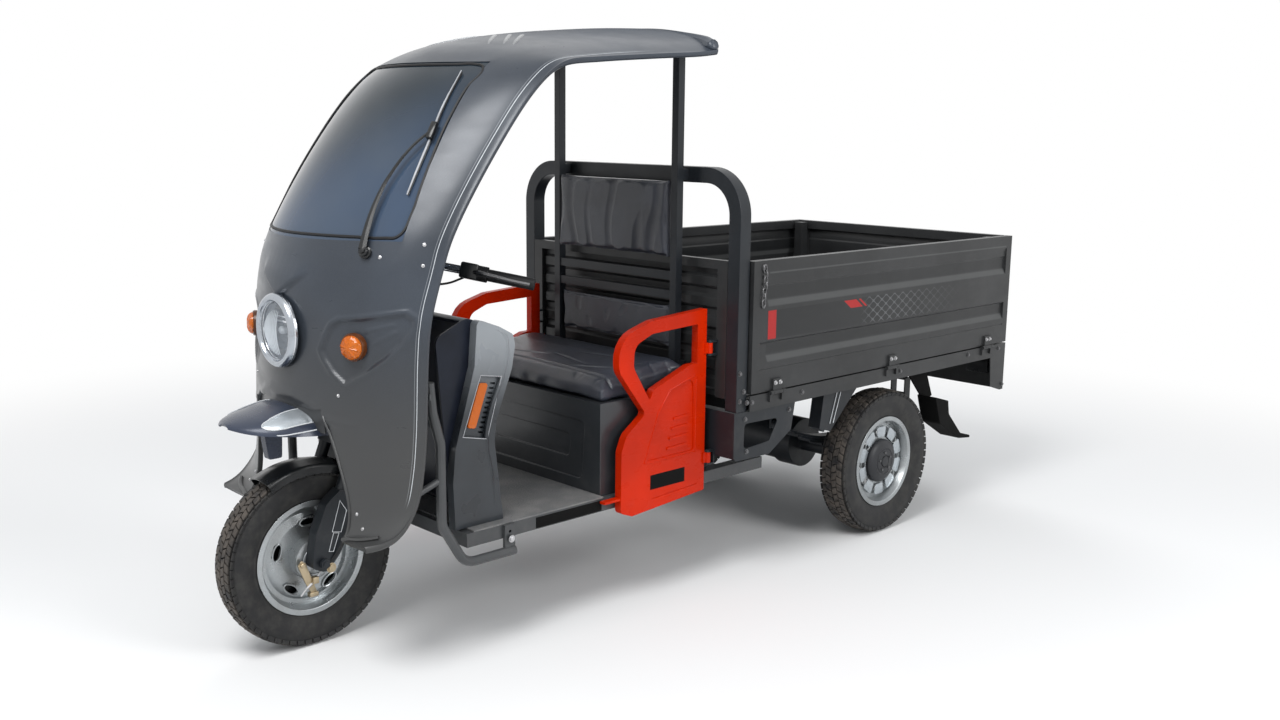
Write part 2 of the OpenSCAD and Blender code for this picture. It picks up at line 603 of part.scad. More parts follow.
// The tubes that guard the rider's legs, one on each side.
module leg_guards() {
    x = shell_x - lip_r - guard_tube_d / 2 - 1;
    tab = on_shell(5.3, shell_x) - shell_normal(5.3, shell_x * 0.995) * shell_t / 2 + [0, lip_r + seat_gap, 0];
    brace = on_shell(2.4, shell_x) - shell_normal(2.4, shell_x * 0.995) * shell_t / 2;
    color("#4b4e52") both() {
        rod([x, fy + 188, 530], [x - 6, brace[1] + lip_r + 12, brace[2]], guard_tube_d / 3);
        pipe(bent([[x, fy + 156, 800], [x, fy + 164, 720], [x, fy + 188, 630], [x, fy + 188, 400],
                   [x, fy + 262, 276], [x, fy + 436, 276]], 60), guard_tube_d / 2, [1, 0, 0]);
        // The tab that reaches the shell's rolled edge.
        box([x - 4, tab[1], tab[2] - 8], [tab[0] + 8, tab[1] + 5, tab[2] + 8]);
        box([x - 4, tab[1], tab[2] - 8], [x + 4, fy + 162, tab[2] + 8]);
        difference() {
            box([frame_x, fy + 400, 264], [x + 4, fy + 436, frame_z]);
            translate([x - 30, fy + 418, frame_z0 + 20]) rotate([0, 90, 0]) cylinder(d = 9, h = 60);
        }
    }
}

// ---------------------------------------------------------------- console
function console_outline() = [
    [fy + 226, 900, 30], [fy + 330, 948, 40], [fy + 446, 905, 26], [fy + 462, 862, 20],
    [fy + 450, 800, 60], [fy + 396, 655, 60], [fy + 386, 590, 60], [fy + 414, frame_z + floor_t, 0],
    [fy + 300, frame_z + floor_t, 0], [fy + 262, 500, 60], [fy + 250, 640, 60]];
module console() {
    color("#33383d") difference() {
        union() {
            side_plate(-console_x, 2 * console_x) difference() {
                polygon(rounded(console_outline(), 4));
                offset(delta = -console_t) polygon(rounded(console_outline(), 4));
                translate([fy + 200, frame_z]) square([112, 600]);
                translate([fy + 290, frame_z]) square([112, 20]);
            }
            both() side_plate(console_x - console_t, console_t) difference() {
                polygon(rounded(console_outline(), 4));
            }
        }
        // The slot that the steering stem turns in.
        box([-62, steer_y(920) - 62, 850], [62, steer_y(920) + 62, 1000]);
    }
}
function trim_outline() = [
    [fy + 345, 946, 14], [fy + 420, 918, 18], [fy + 468, 892, 14], [fy + 476, 862, 16],
    [fy + 464, 795, 60], [fy + 408, 655, 60], [fy + 400, 592, 60], [fy + 428, frame_z + floor_t, 0],
    [fy + 262, frame_z + floor_t, 0], [fy + 256, 495, 60], [fy + 266, 592, 60], [fy + 292, 675, 60],
    [fy + 334, 814, 40]];
function reflector_recess() = [[fy + 354, 786, 6], [fy + 426, 774, 6], [fy + 374, 606, 6], [fy + 291, 624, 6]];
function reflector_bar() = [[fy + 353, 766, 8], [fy + 384, 762, 8], [fy + 338, 638, 8], [fy + 309, 644, 8]];
vents = 11;
module console_trims() {
    color("#6b7074") both() difference() {
        side_plate(console_x, trim_w) polygon(rounded(trim_outline(), 4));
        side_plate(console_x + trim_w - 12, 13) polygon(rounded(reflector_recess(), 3));
        // The comb of vents along the recess's rear edge.
        for (k = [0:vents - 1]) let (p = mix([fy + 396, 758], [fy + 352, 624], k / (vents - 1)))
            side_plate(console_x + trim_w - 22, 12) polygon([p + [0, -2], p + [17, -5], p + [17, 1], p + [0, 4]]);
    }
}
module side_reflectors() {
    color("#e0701c") both() side_plate(console_x + trim_w - 12 + seat_gap, 8) polygon(rounded(reflector_bar(), 4));
}
module brake_pedal() {
    color("#2a2c2f") {
        box([-210, fy + 424, frame_z + floor_t], [-190, fy + 470, frame_z + floor_t + 70]);
        box([-235, fy + 462, frame_z + floor_t + 60], [-165, fy + 530, frame_z + floor_t + 72]);
    }
}

// ---------------------------------------------------------------- seat
seat_y1 = by - 62;
// The front panel is pressed in twice, each time by press_d.
press_d = 6;
module seat_box() {
    color("#3b3f44") difference() {
        box([-seat_x, seat_y0, frame_z], [seat_x, seat_y1, seat_z]);
        box([-seat_x + seat_wall, seat_y0 + seat_wall + 2 * press_d, frame_z - 1],
            [seat_x - seat_wall, seat_y1 - seat_wall, seat_z - seat_wall]);
        for (p = [[1, 308, 296, seat_z - 66, frame_z + 38, 24], [2, 238, 228, seat_z - 118, frame_z + 98, 18]])
            translate([0, seat_y0 + p[0] * press_d, 0]) rotate([90, 0, 0]) linear_extrude(2 * press_d + 1)
                polygon(rounded([[-p[2], p[4], p[5]], [p[2], p[4], p[5]], [p[1], p[3], p[5]], [-p[1], p[3], p[5]]], 4));
    }
}
module battery_pack() {
    color("#2c3e2f") box([-260, seat_y0 + 60, frame_z], [260, seat_y0 + 250, frame_z + 200]);
}
module seat_cushion() {
    y0 = seat_y0 - 10;
    y1 = by - 88;
    x = guard_x - 12;
    z = seat_z + seat_gap;
    color("#34383d") side_plate(-x, 2 * x)
        polygon(rounded([[y0, z, 8], [y1, z, 8], [y1, z + cushion_t + 38, 30], [y0, z + cushion_t - 6, 28]], 4));
}

// ---------------------------------------------------------------- hoop, posts and backrest
hoop_y0 = by - 27;
hoop_y1 = hoop_y0 + hoop_tube;
module arch2d(x, z0, z1, r) {
    translate([-x, z0]) square([2 * x, z1 - z0 - r]);
    translate([-x + r, z1 - r - 1]) square([2 * (x - r), r + 1]);
    for (s = [-1, 1]) translate([s * (x - r), z1 - r]) circle(r = r, $fn = 96);
}
hoop_z0 = bed_z - rail_h;
module hoop() {
    color("#2f3338") translate([0, hoop_y1, 0]) rotate([90, 0, 0]) linear_extrude(hoop_tube) difference() {
        arch2d(hoop_x, hoop_z0, hoop_z, hoop_r);
        arch2d(hoop_x - hoop_tube, hoop_z0 - 1, hoop_z - hoop_tube, hoop_r - hoop_tube);
    }
}
post_y = by - 65;
post_z1 = 1672 + lift;
module roof_posts() {
    color("#2f3338") {
        both() {
            box([post_x - post_w / 2, post_y - post_w / 2, seat_z], [post_x + post_w / 2, post_y + post_w / 2, post_z1]);
            // Ties back to the hoop and to the bed's front wall.
            box([post_x - post_w / 2, post_y, hoop_z - hoop_tube + 8], [post_x + post_w / 2, hoop_y0 - seat_gap, hoop_z - 8]);
            box([post_x - post_w / 2, post_y, bed_z + 60], [post_x + post_w / 2, hoop_y0 - seat_gap, bed_z + 90]);
        }
        // Two flat bars under the backrest.
        for (z = [919, 981]) box([-post_x, post_y - post_w / 2 + 4, z], [post_x, post_y + 2, z + 27]);
        // The rail that carries the roof.
        box([-post_x, post_y - post_w / 2, post_z1 - post_w], [post_x, post_y + post_w / 2, post_z1]);
    }
}
module backrest_cushion() {
    x = post_x - post_w / 2 - seat_gap;
    color("#383c42") box([-x, post_y - 26, 1046], [x, post_y + 10, 1310]);
}
module lumbar_pad() {
    x = post_x - post_w / 2 - seat_gap;
    color("#383c42") box([-x, post_y - 8, 756], [x, post_y + 12, 902]);
}

// ---------------------------------------------------------------- bed
floor_z = bed_z - 12;
wall_z1 = bed_z + gate_h;
floor_sheet = 3;
bed_x = bed_w / 2;
module bed_floor() {
    x = bed_x - rail_w - seat_gap;
    y = by1 - rail_w - seat_gap;
    color("#3a3d40") {
        box([-x, hoop_y1 + seat_gap, floor_z - floor_sheet], [x, y, floor_z]);
        // The rear corner posts.
        both() box([x - corner_w, y - corner_w, floor_z - eps], [x, y, wall_z1 - 6]);
    }
}
// The gates' hinges: an axis just outside the panel and just above the rail.
hinge_out = barrel_r + 1;
gate_pin_r = barrel_r - 3;
barrel_l = 44;
lug_l = 14;
side_hinges = [by + 150, (by + by1) / 2, by1 - 150];
tail_hinges = [-bed_x + 190, bed_x - 190];
// A hinge's fixed half on a face that looks along -Y: two lugs and the pin. x is the middle.
module hinge_fixed() {
    for (s = [-1, 1]) {
        translate([s * (barrel_l / 2 + 1 + lug_l / 2), 0, 0]) {
            translate([-lug_l / 2, -hinge_out, 0]) rotate([0, 90, 0]) cylinder(r = barrel_r, h = lug_l);
            box([-lug_l / 2, -hinge_out, -30], [lug_l / 2, 0, 0]);
        }
    }
    translate([-barrel_l / 2 - lug_l, -hinge_out, 0]) rotate([0, 90, 0]) cylinder(r = gate_pin_r, h = barrel_l + 2 * lug_l);
}
// The half that moves: a barrel and its leaf on the gate's outer face.
module hinge_moving() {
    difference() {
        union() {
            translate([-barrel_l / 2, -hinge_out, 0]) rotate([0, 90, 0]) cylinder(r = barrel_r, h = barrel_l);
            box([-barrel_l / 2, -hinge_out, 0], [barrel_l / 2, -hinge_out + 4, 44]);
            box([-barrel_l / 2, -hinge_out, 8], [barrel_l / 2, eps, 44]);
        }
        translate([-barrel_l, -hinge_out, 0]) rotate([0, 90, 0]) cylinder(r = gate_pin_r + pin_gap, h = 2 * barrel_l);
    }
}
apron_z0 = bed_z - rail_h - apron_h;
lamp_w = 92;
lamp_h = 58;
lamp_x = bed_x - 62;
lamp_z = apron_z0 + 62;
module bed_frame() {
    z0 = bed_z - rail_h;
    color("#4a4f52") {
        both() {
            // Side rail, a channel open to the inside.
            difference() {
                box([bed_x - rail_w, hoop_y1, z0], [bed_x, by1, bed_z]);
                box([bed_x - rail_w - 1, hoop_y1 - 1, z0 + 4], [bed_x - 4, by1 - 4, bed_z - 4]);
            }
            for (y = side_hinges) translate([bed_x, y, bed_z]) rotate([0, 0, 90]) hinge_fixed();
            // The apron's side return.
            side_plate(bed_x - 4, 4) polygon([[by1 - 109, z0 + 1], [by1 - 97, apron_z0 + 22],
                [by1 - 24, apron_z0], [by1, apron_z0], [by1, z0 + 1]]);
        }
        for (y = [hoop_y1 + 4, by + 420, ry - 60, ry + 300, by1 - 90])
            box([-bed_x + rail_w - 20, y, rail_z1], [bed_x - rail_w + 20, y + 40, floor_z - floor_sheet]);
        // Rear rail and the apron below it.
        difference() {
            union() {
                box([-bed_x, by1 - 4, apron_z0], [bed_x, by1, bed_z]);
                box([-bed_x + rail_w - 1, by1 - rail_w, bed_z - 4], [bed_x - rail_w + 1, by1, bed_z]);
            }
            both() box([lamp_x - lamp_w - seat_gap, by1 - 5, lamp_z - seat_gap],
                       [lamp_x + seat_gap, by1 + 1, lamp_z + lamp_h + seat_gap]);
            for (s = [-1, 1]) translate([s * plate_hole / 2, by1 - 5, lamp_z + lamp_h / 2]) rotate([-90, 0, 0])
                cylinder(r = plate_hole_r, h = 6);
        }
        for (x = tail_hinges) translate([x, by1, bed_z]) rotate([0, 0, 180]) hinge_fixed();
    }
}
module wall_ribs(w, z0, z1, n) {
    // Trapezoid ribs pressed out of a sheet that lies in the XZ plane, towards -Y.
    pitch = (z1 - z0) / n;
    for (k = [0:n - 1]) translate([-w / 2, 0, z0 + pitch * (k + 0.5)]) rotate([90, 0, 90]) linear_extrude(w)
        polygon([[0, -pitch * 0.36], [-rib_d, -pitch * 0.22], [-rib_d, pitch * 0.22], [0, pitch * 0.36]]);
}
module bed_front_wall() {
    x = hoop_x - hoop_tube - seat_gap;
    z0 = floor_z + seat_gap;
    color("#3d4145") {
        box([-x, hoop_y0 + 20, z0], [x, hoop_y0 + 20 + sheet, wall_z1]);
        both() box([x - 44, hoop_y0, z0], [x, hoop_y0 + 20, wall_z1]);
        box([-x, hoop_y0, wall_z1 - 30], [x, hoop_y0 + 20, wall_z1]);
        translate([0, hoop_y0 + 20, 0]) wall_ribs(2 * x - 100, z0 + 10, wall_z1 - 40, 6);
    }
}
// A gate of the bed: a frame round a pressed sheet. Drawn flat in XZ, outer face towards -Y,
// from x = 0 to l and z = 0 to h.
gate_frame = 36;
// The pressed sheet's profile upwards: share of the gate's height, and 1 where it is pressed in.
gate_press = [[0.165, 0], [0.172, 0.25], [0.180, 0], [0.225, 0], [0.279, 1], [0.368, 1], [0.386, 0], [0.646, 0],
              [0.700, 1], [0.801, 1], [0.815, 0.6], [0.860, 0.6], [0.899, 0]];
module gate_panel(l, h) {
    f = gate_frame;
    path = concat([[0, f - eps]], [for (p = gate_press) [p[1] * rib_d, p[0] * h]], [[0, h - f + eps]]);
    color("#4d5255") {
        difference() {
            box([0, 0, 0], [l, gate_t, h]);
            box([f, -1, f], [l - f, gate_t + 1, h - f]);
        }
        translate([f - eps, 0, 0]) rotate([90, 0, 90]) linear_extrude(l - 2 * f + 2 * eps)
            polygon(concat(path, [for (i = [len(path) - 1:-1:0]) path[i] + [sheet, 0]]));
    }
}
module side_gate(s) {
    // The gate's outer face is the bed's side.
    l = by1 - hoop_y1 - move_gap;
    on_side(s) {
        translate([bed_x, hoop_y1 + move_gap, bed_z + move_gap]) rotate([0, 0, 90]) gate_panel(l, gate_h - move_gap);
        color("#4d5255") for (y = side_hinges) translate([bed_x, y, bed_z]) rotate([0, 0, 90]) hinge_moving();
    }
}
module left_gate() { side_gate(1); }
module right_gate() { side_gate(-1); }
module tailgate() {
    w = bed_w - 2 * gate_t - 2 * move_gap;
    translate([w / 2, by1, bed_z + move_gap]) rotate([0, 0, 180]) gate_panel(w, gate_h - move_gap);
    color("#4d5255") for (x = tail_hinges) translate([x, by1, bed_z]) rotate([0, 0, 180]) hinge_moving();
}
module side_brackets() {
    z1 = bed_z - rail_h;
    x1 = bed_x - 12;
    color("#44484b") both() {
        side_plate(x1 - 3, 3) difference() {
            polygon(rounded([[by - 36, z1, 0], [by - 32, z1 - 158, 12], [by + 140, z1 - 160, 14], [by + 250, z1 - 96, 16],
                             [by + 268, z1, 0]], 4));
            polygon(rounded([[by + 14, z1 - 40, 12], [by + 12, z1 - 124, 12], [by + 138, z1 - 116, 10], [by + 184, z1 - 44, 10]], 3));
        }
        box([frame_x + 6, by - 36, z1 - 150], [x1, by - 33, z1]);
        guard_pin(knuckle_z[0], by - 34);
        guard_pin(knuckle_z[1], hoop_y0 - seat_gap);
    }
}
// A fixed lug above and below a guard's knuckle, the pin through it and the plate behind it.
module guard_pin(z, y1) {
    translate([hinge_x, hinge_y, z - 9]) cylinder(r = pin_r, h = knuckle_h + 18);
    for (h = [z - 7, z + knuckle_h + 1]) {
        translate([hinge_x, hinge_y, h]) cylinder(r = hinge_r, h = 6);
        box([hinge_x - hinge_r, hinge_y, h], [hinge_x + hinge_r, y1, h + 6]);
    }
    box([hinge_x - hinge_r, y1 - 4, z - 7], [hinge_x + hinge_r, y1, z + knuckle_h + 7]);
}

// ---------------------------------------------------------------- running gear
module rear_axle() {
    x = rear_track / 2 - 46;
    color("#1a1b1d") {
        translate([-x, ry, rear_tyre_r]) rotate([0, 90, 0]) cylinder(r = 30, h = 2 * x);
        translate([-rear_track / 2 - 46, ry, rear_tyre_r]) rotate([0, 90, 0]) cylinder(r = stub_r, h = rear_track + 92);
        translate([60, ry, rear_tyre_r]) rotate([0, 90, 0]) cylinder(r = 95, h = 90);
        both() box([rail_x - 32, ry - 45, rear_tyre_r + 24], [rail_x + 32, ry + 45, rear_tyre_r + 40]);
    }
}
module drive_motor() {
    color("#202225") difference() {
        translate([60 - seat_gap - 200, ry + 10, rear_tyre_r]) rotate([0, 90, 0]) cylinder(r = 88, h = 200);
        translate([-200, ry, rear_tyre_r]) rotate([0, 90, 0]) cylinder(r = 30 + seat_gap, h = 400);
    }
}
module leaf_springs() {
    // Arched leaves, the longest on top, with its eyes in two hangers under the chassis rail.
    leaves = 4;
    leaf_t = 9;
    r = 900;
    reach = 370;
    zc = rear_tyre_r + 40 + seat_gap + r;
    r0 = r - leaf_t * (leaves - 1);
    eye_z = zc - sqrt(r0 * r0 - reach * reach) + 12;
    color("#202224") both() {
        for (k = [0:leaves - 1]) intersection() {
            translate([rail_x - 28, ry, zc]) rotate([0, 90, 0]) difference() {
                cylinder(r = r0 + leaf_t * k, h = 56, $fn = 192);
                translate([0, 0, -1]) cylinder(r = r0 + leaf_t * (k - 1) + seat_gap, h = 58, $fn = 192);
            }
            box([rail_x - 40, ry - reach + 70 * k, 0], [rail_x + 40, ry + reach - 70 * k, zc - 600]);
        }
        for (y = [ry - reach, ry + reach]) {
            translate([rail_x - 28, y, eye_z]) rotate([0, 90, 0]) cylinder(r = 18, h = 56);
            for (s = [-1, 1]) translate([rail_x + s * (31 + seat_gap) - 3, y - 18, eye_z - 16])
                cube([6, 36, rail_z0 - seat_gap - eye_z + 16]);
            box([rail_x - 34, y - 18, rail_z0 - 8], [rail_x + 34, y + 18, rail_z0 - seat_gap]);
        }
    }
}
module splash_plates() {
    z1 = bed_z - rail_h;
    color("#44484b") both() {
        side_plate(bed_x - 90, 50) polygon([[ry - 345, z1], [ry - 365, z1 - 130], [ry - 340, z1 - 146], [ry - 325, z1 - 130], [ry - 305, z1]]);
        side_plate(bed_x - 46, 4) polygon([[ry - 345, z1], [ry - 365, z1 - 130], [ry - 300, z1 - 150], [ry - 140, z1]]);
    }
}
module mudflaps() {
    z1 = rail_z1 - seat_gap;
    color("#1e2022") both() {
        side_plate(bed_x - 96, 8) polygon([[ry + 224, z1], [ry + 350, z1], [ry + 404, z1 - 120], [ry + 350, z1 - 134]]);
        side_plate(bed_x - 88, 84) polygon(rounded([[ry + 300, z1 - 100, 4], [ry + 340, z1 - 210, 30], [ry + 480, z1 - 290, 20],
            [ry + 560, z1 - 300, 3], [ry + 560, z1 - 290, 3], [ry + 490, z1 - 270, 20], [ry + 400, z1 - 180, 20], [ry + 390, z1 - 126, 2]], 3));
    }
}
module tail_lamps() {
    color("#a3231f") both() box([lamp_x - lamp_w, by1 - 26, lamp_z], [lamp_x, by1 + 4, lamp_z + lamp_h]);
}

// ---------------------------------------------------------------- side guards
// The guard's outline in (y, z): a loop above a panel that narrows to a waist.
function guard_outer() = [
    [by - 65, 904, 4], [by - 306, 888, 60], [by - 450, 846, 90], [by - 444, 745, 60], [by - 332, 602, 14],
    [by - 412, 545, 50], [by - 432, 496, 30], [by - 433, 304, 16], [by - 386, 286, 12], [by - 65, 309, 4]];
function guard_inner() = [
    [by - 65 - loop_w + 6, 858, 4], [by - 306, 848, 40], [by - 380, 818, 40], [by - 384, 752, 40],
    [by - 314, 640, 4], [by - 300, 672, 20], [by - 140, 730, 40], [by - 65 - loop_w + 6, 731, 4]];
hinge_x = guard_x + guard_t + 6;
hinge_y = by - 55;
hinge_r = pin_r + 4;
knuckle_z = [400, 760];
knuckle_h = 34;
// The raised louvres in a guard's recess, and the height of the top one.
louvres = 4;
louvre_z = 567;
module guard(s) {
    color("#d8401f") on_side(s) difference() {
        union() {
            side_plate(guard_x, guard_t) difference() {
                polygon(rounded(guard_outer(), 5));
                polygon(rounded(guard_inner(), 5));
            }
            // The foot that steadies the guard beside the floor.
            box([guard_x + 2, by - 497, 344], [guard_x + guard_t - 3, by - 428, 352]);
            for (z = knuckle_z) {
                translate([hinge_x, hinge_y, z]) cylinder(r = hinge_r, h = knuckle_h);
                box([guard_x + guard_t - 6, hinge_y - 20, z], [hinge_x, hinge_y, z + knuckle_h]);
            }
        }
        for (z = knuckle_z) translate([hinge_x, hinge_y, z - 1]) cylinder(r = pin_r + pin_gap, h = knuckle_h + 2);
        side_plate(guard_x + guard_t - recess_d, recess_d + 1) difference() {
            polygon(rounded([[by - 122, 690, 20], [by - 226, 654, 40], [by - 270, 600, 30], [by - 331, 449, 10], [by - 116, 451, 10]], 4));
            for (k = [0:louvres - 1]) polygon(rounded([
                [by - 208 - 9 * k, louvre_z - 31 * k - 5, 4], [by - 138 - 3 * k, louvre_z - 31 * k - 2, 4],
                [by - 138 - 3 * k, louvre_z - 31 * k + 7, 4], [by - 208 - 9 * k, louvre_z - 31 * k + 4, 4]], 3));
        }
        side_plate(guard_x + guard_t - recess_d / 2, recess_d) polygon([
            [by - 300, 324], [by - 100, 334], [by - 100, 339], [by - 300, 329]]);
    }
}
module left_guard() { guard(1); }
module right_guard() { guard(-1); }

chassis_frame();
floor_board();
cab_shell();
windscreen();
wiper();
headlamp();
headlamp_lens();
turn_signals();
beak_fender();
leg_guards();
console();
console_trims();
side_reflectors();
seat_box();
battery_pack();
seat_cushion();
hoop();
roof_posts();
backrest_cushion();
lumbar_pad();
bed_floor();
bed_frame();
bed_front_wall();
side_brackets();
rear_axle();
drive_motor();
leaf_springs();
splash_plates();
mudflaps();
tail_lamps();
brake_pedal();
fork();
handlebar();
grips();
front_mudguard();
front_tyre();
front_rim();
rear_tyre_left();
rear_rim_left();
rear_tyre_right();
rear_rim_right();
left_guard();
right_guard();
left_gate();
right_gate();
tailgate();
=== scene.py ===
import json
import math

import bmesh
import bpy
import numpy as np
from mathutils import Matrix, Vector
from mathutils.bvhtree import BVHTree


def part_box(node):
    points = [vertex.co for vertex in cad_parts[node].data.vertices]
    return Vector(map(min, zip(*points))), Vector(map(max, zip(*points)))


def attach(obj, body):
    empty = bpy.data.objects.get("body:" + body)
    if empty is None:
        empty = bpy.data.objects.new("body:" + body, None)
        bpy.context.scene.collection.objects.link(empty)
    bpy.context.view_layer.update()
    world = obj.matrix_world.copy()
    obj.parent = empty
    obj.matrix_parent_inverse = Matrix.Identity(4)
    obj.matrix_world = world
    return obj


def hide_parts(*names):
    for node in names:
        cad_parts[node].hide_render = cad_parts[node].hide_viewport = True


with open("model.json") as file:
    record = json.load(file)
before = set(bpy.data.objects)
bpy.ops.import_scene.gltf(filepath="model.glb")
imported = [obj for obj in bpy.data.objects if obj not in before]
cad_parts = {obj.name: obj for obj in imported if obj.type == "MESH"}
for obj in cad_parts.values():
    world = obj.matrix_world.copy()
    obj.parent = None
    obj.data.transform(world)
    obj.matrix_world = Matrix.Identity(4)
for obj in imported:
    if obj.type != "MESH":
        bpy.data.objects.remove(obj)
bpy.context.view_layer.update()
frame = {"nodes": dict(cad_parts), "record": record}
record = frame["record"]
slotOf = {part["node"]: part["material_slot"] for part in record["subparts"]}
nodeBody = {node: body for body, nodes in record["behaviour"]["bodies"].items() for node in nodes}
print("frame loaded:", len(frame["nodes"]), "nodes")


# camera, floor and lamps

camera = {"place": (3.0992, -2.9688, 1.4699), "turn": 46.03, "down": 10.634, "roll": 0.622, "lens": 35.04}
lamps = {
    "key": {"place": (1.3, -3.4, 4.9), "aim": (0.2, -0.6, 0.9), "size": 2.6, "watts": 190},
    "side": {"place": (5.2, 0.6, 3.2), "aim": (0, 0.2, 0.7), "size": 2.4, "watts": 125},
    "back": {"place": (-3.6, 3.2, 4.0), "aim": (0, 0, 0.9), "size": 3.0, "watts": 80, "mirrored": False},
}
stage = {"size": 60, "colour": 0.86, "plainFrom": 1.9, "plainTo": 4.6}


def pose(at, out, front="Z"):  # puts a piece made about Z at a place, looking out
    return Matrix.Translation(Vector(at)) @ Vector(out).to_track_quat(front, "Y").to_matrix().to_4x4()


def addCamera():
    a, e, r = (math.radians(camera[key]) for key in ("turn", "down", "roll"))
    ahead = Vector((-math.sin(a) * math.cos(e), math.cos(a) * math.cos(e), -math.sin(e)))
    right = ahead.cross(Vector((0, 0, 1))).normalized()
    up = right.cross(ahead)
    right, up = math.cos(r) * right + math.sin(r) * up, math.cos(r) * up - math.sin(r) * right
    data = bpy.data.cameras.new("camera")
    data.lens = camera["lens"]
    data.sensor_width = 36
    data.clip_end = 200
    view = bpy.data.objects.new("camera", data)
    view.matrix_world = Matrix((
        (right.x, up.x, -ahead.x, camera["place"][0]),
        (right.y, up.y, -ahead.y, camera["place"][1]),
        (right.z, up.z, -ahead.z, camera["place"][2]),
        (0, 0, 0, 1)))
    bpy.context.scene.collection.objects.link(view)
    bpy.context.scene.camera = view


def addLamps():
    for name, lamp in lamps.items():
        data = bpy.data.lights.new(name, "AREA")
        data.energy = lamp["watts"]
        data.shape = "DISK"
        data.size = lamp["size"]
        place = Vector(lamp["place"])
        light = bpy.data.objects.new(name, data)
        light.visible_glossy = lamp.get("mirrored", True)  # the back lamp's image would whiten the roof
        light.matrix_world = pose(place, Vector(lamp["aim"]) - place, "-Z")
        bpy.context.scene.collection.objects.link(light)


# shader maths: a wire is one socket, and an expression on wires adds its own nodes

class Wire:
    def __init__(self, graph, socket):
        self.graph, self.socket = graph, socket

    def math(self, operation, *others, clamp=False):
        inputs = dict(enumerate((self,) + others))
        return self.graph.add("ShaderNodeMath", {"operation": operation, "use_clamp": clamp}, inputs)

    def __add__(self, other): return self.math("ADD", other)
    def __sub__(self, other): return self.math("SUBTRACT", other)
    def __mul__(self, other): return self.math("MULTIPLY", other)
    def __radd__(self, other): return self + other
    def __rmul__(self, other): return self * other

    def rise(self, low, high):  # 0 below low, 1 above high, or falling when low is above high
        flip = low > high
        inputs = {"Value": self, "From Min": min(low, high), "From Max": max(low, high),
                  "To Min": 1.0 if flip else 0.0, "To Max": 0.0 if flip else 1.0}
        return self.graph.add("ShaderNodeMapRange", {"interpolation_type": "SMOOTHSTEP"}, inputs)

    def band(self, low, high, soft):  # 1 between low and high
        return self.rise(low - soft, low + soft) * self.rise(high + soft, high - soft)


class Graph:
    def __init__(self, material):
        self.tree = material.node_tree
        self.tree.nodes.clear()
        self.last = 0

    def add(self, kind, settings=None, inputs=None, out=0):
        node = self.tree.nodes.new(kind)
        self.last += 1
        node.location = (self.last % 12 * 200, -(self.last // 12) * 260)
        for key, value in (settings or {}).items():
            setattr(node, key, value)
        for key, value in (inputs or {}).items():
            if isinstance(value, Wire):
                self.tree.links.new(value.socket, node.inputs[key])
            else:
                node.inputs[key].default_value = value
        return Wire(self, node.outputs[out]) if node.outputs else node

    def place(self):
        return self.add("ShaderNodeTexCoord", out=3)

    def facing(self):  # the surface's direction in the piece's own frame
        return self.add("ShaderNodeTexCoord", out=1)

    def axes(self, vector):
        split = self.add("ShaderNodeSeparateXYZ", None, {0: vector})
        return [Wire(self, split.socket.node.outputs[k]) for k in range(3)]

    def stretched(self, vector, scale):
        return self.add("ShaderNodeMapping", None, {"Vector": vector, "Scale": scale})

    def noise(self, vector, scale, detail=2.0, rough=0.5):
        inputs = {"Vector": vector, "Scale": scale, "Detail": detail, "Roughness": rough}
        return self.add("ShaderNodeTexNoise", None, inputs)

    def attribute(self, name):
        return self.add("ShaderNodeAttribute", {"attribute_name": name}, out=2)

    def blend(self, factor, first, second):  # colours, each a wire or three numbers
        def four(c): return c if isinstance(c, Wire) else (*c, 1.0)
        return self.add("ShaderNodeMix", {"data_type": "RGBA"}, {0: factor, 6: four(first), 7: four(second)}, 2)

    def bump(self, height, strength, distance):
        return self.add("ShaderNodeBump", None, {"Height": height, "Strength": strength, "Distance": distance})

    def plainRays(self):  # 1 for what the camera, a reflection or a clear piece sees directly
        outputs = self.add("ShaderNodeLightPath").socket.node.outputs
        seen = [Wire(self, outputs[name]) for name in ("Is Camera Ray", "Is Glossy Ray", "Is Transmission Ray")]
        return (seen[0] + seen[1]).math("ADD", seen[2], clamp=True)


def newMaterial(name):
    material = bpy.data.materials.new(name)
    material.use_nodes = True
    return material, Graph(material)


def surface(graph, **sockets):  # socket names with underscores for spaces
    inputs = {}
    for key, value in sockets.items():
        if isinstance(value, tuple) and len(value) == 3:
            value = (*value, 1.0)
        inputs[key.replace("_", " ")] = value
    shader = graph.add("ShaderNodeBsdfPrincipled", None, inputs)
    graph.add("ShaderNodeOutputMaterial", None, {"Surface": shader})
    return shader


def addFloor():
    material, g = newMaterial("paleFloor")
    x, y, z = g.axes(g.place())
    reach = (x * x + y * y).math("SQRT")
    plain = reach.rise(stage["plainFrom"], stage["plainTo"])
    diffuse = g.add("ShaderNodeBsdfDiffuse", None, {"Color": (*[stage["colour"]] * 3, 1)})
    glow = g.add("ShaderNodeEmission", None, {"Color": (1, 1, 1, 1), "Strength": 1.0})
    mixed = g.add("ShaderNodeMixShader", None, {0: g.plainRays() * plain, 1: diffuse, 2: glow})
    g.add("ShaderNodeOutputMaterial", None, {"Surface": mixed})
    bpy.ops.mesh.primitive_plane_add(size=stage["size"], location=(0, 0, 0))
    floor = bpy.context.object
    floor.name = "floor"
    floor.data.materials.append(material)


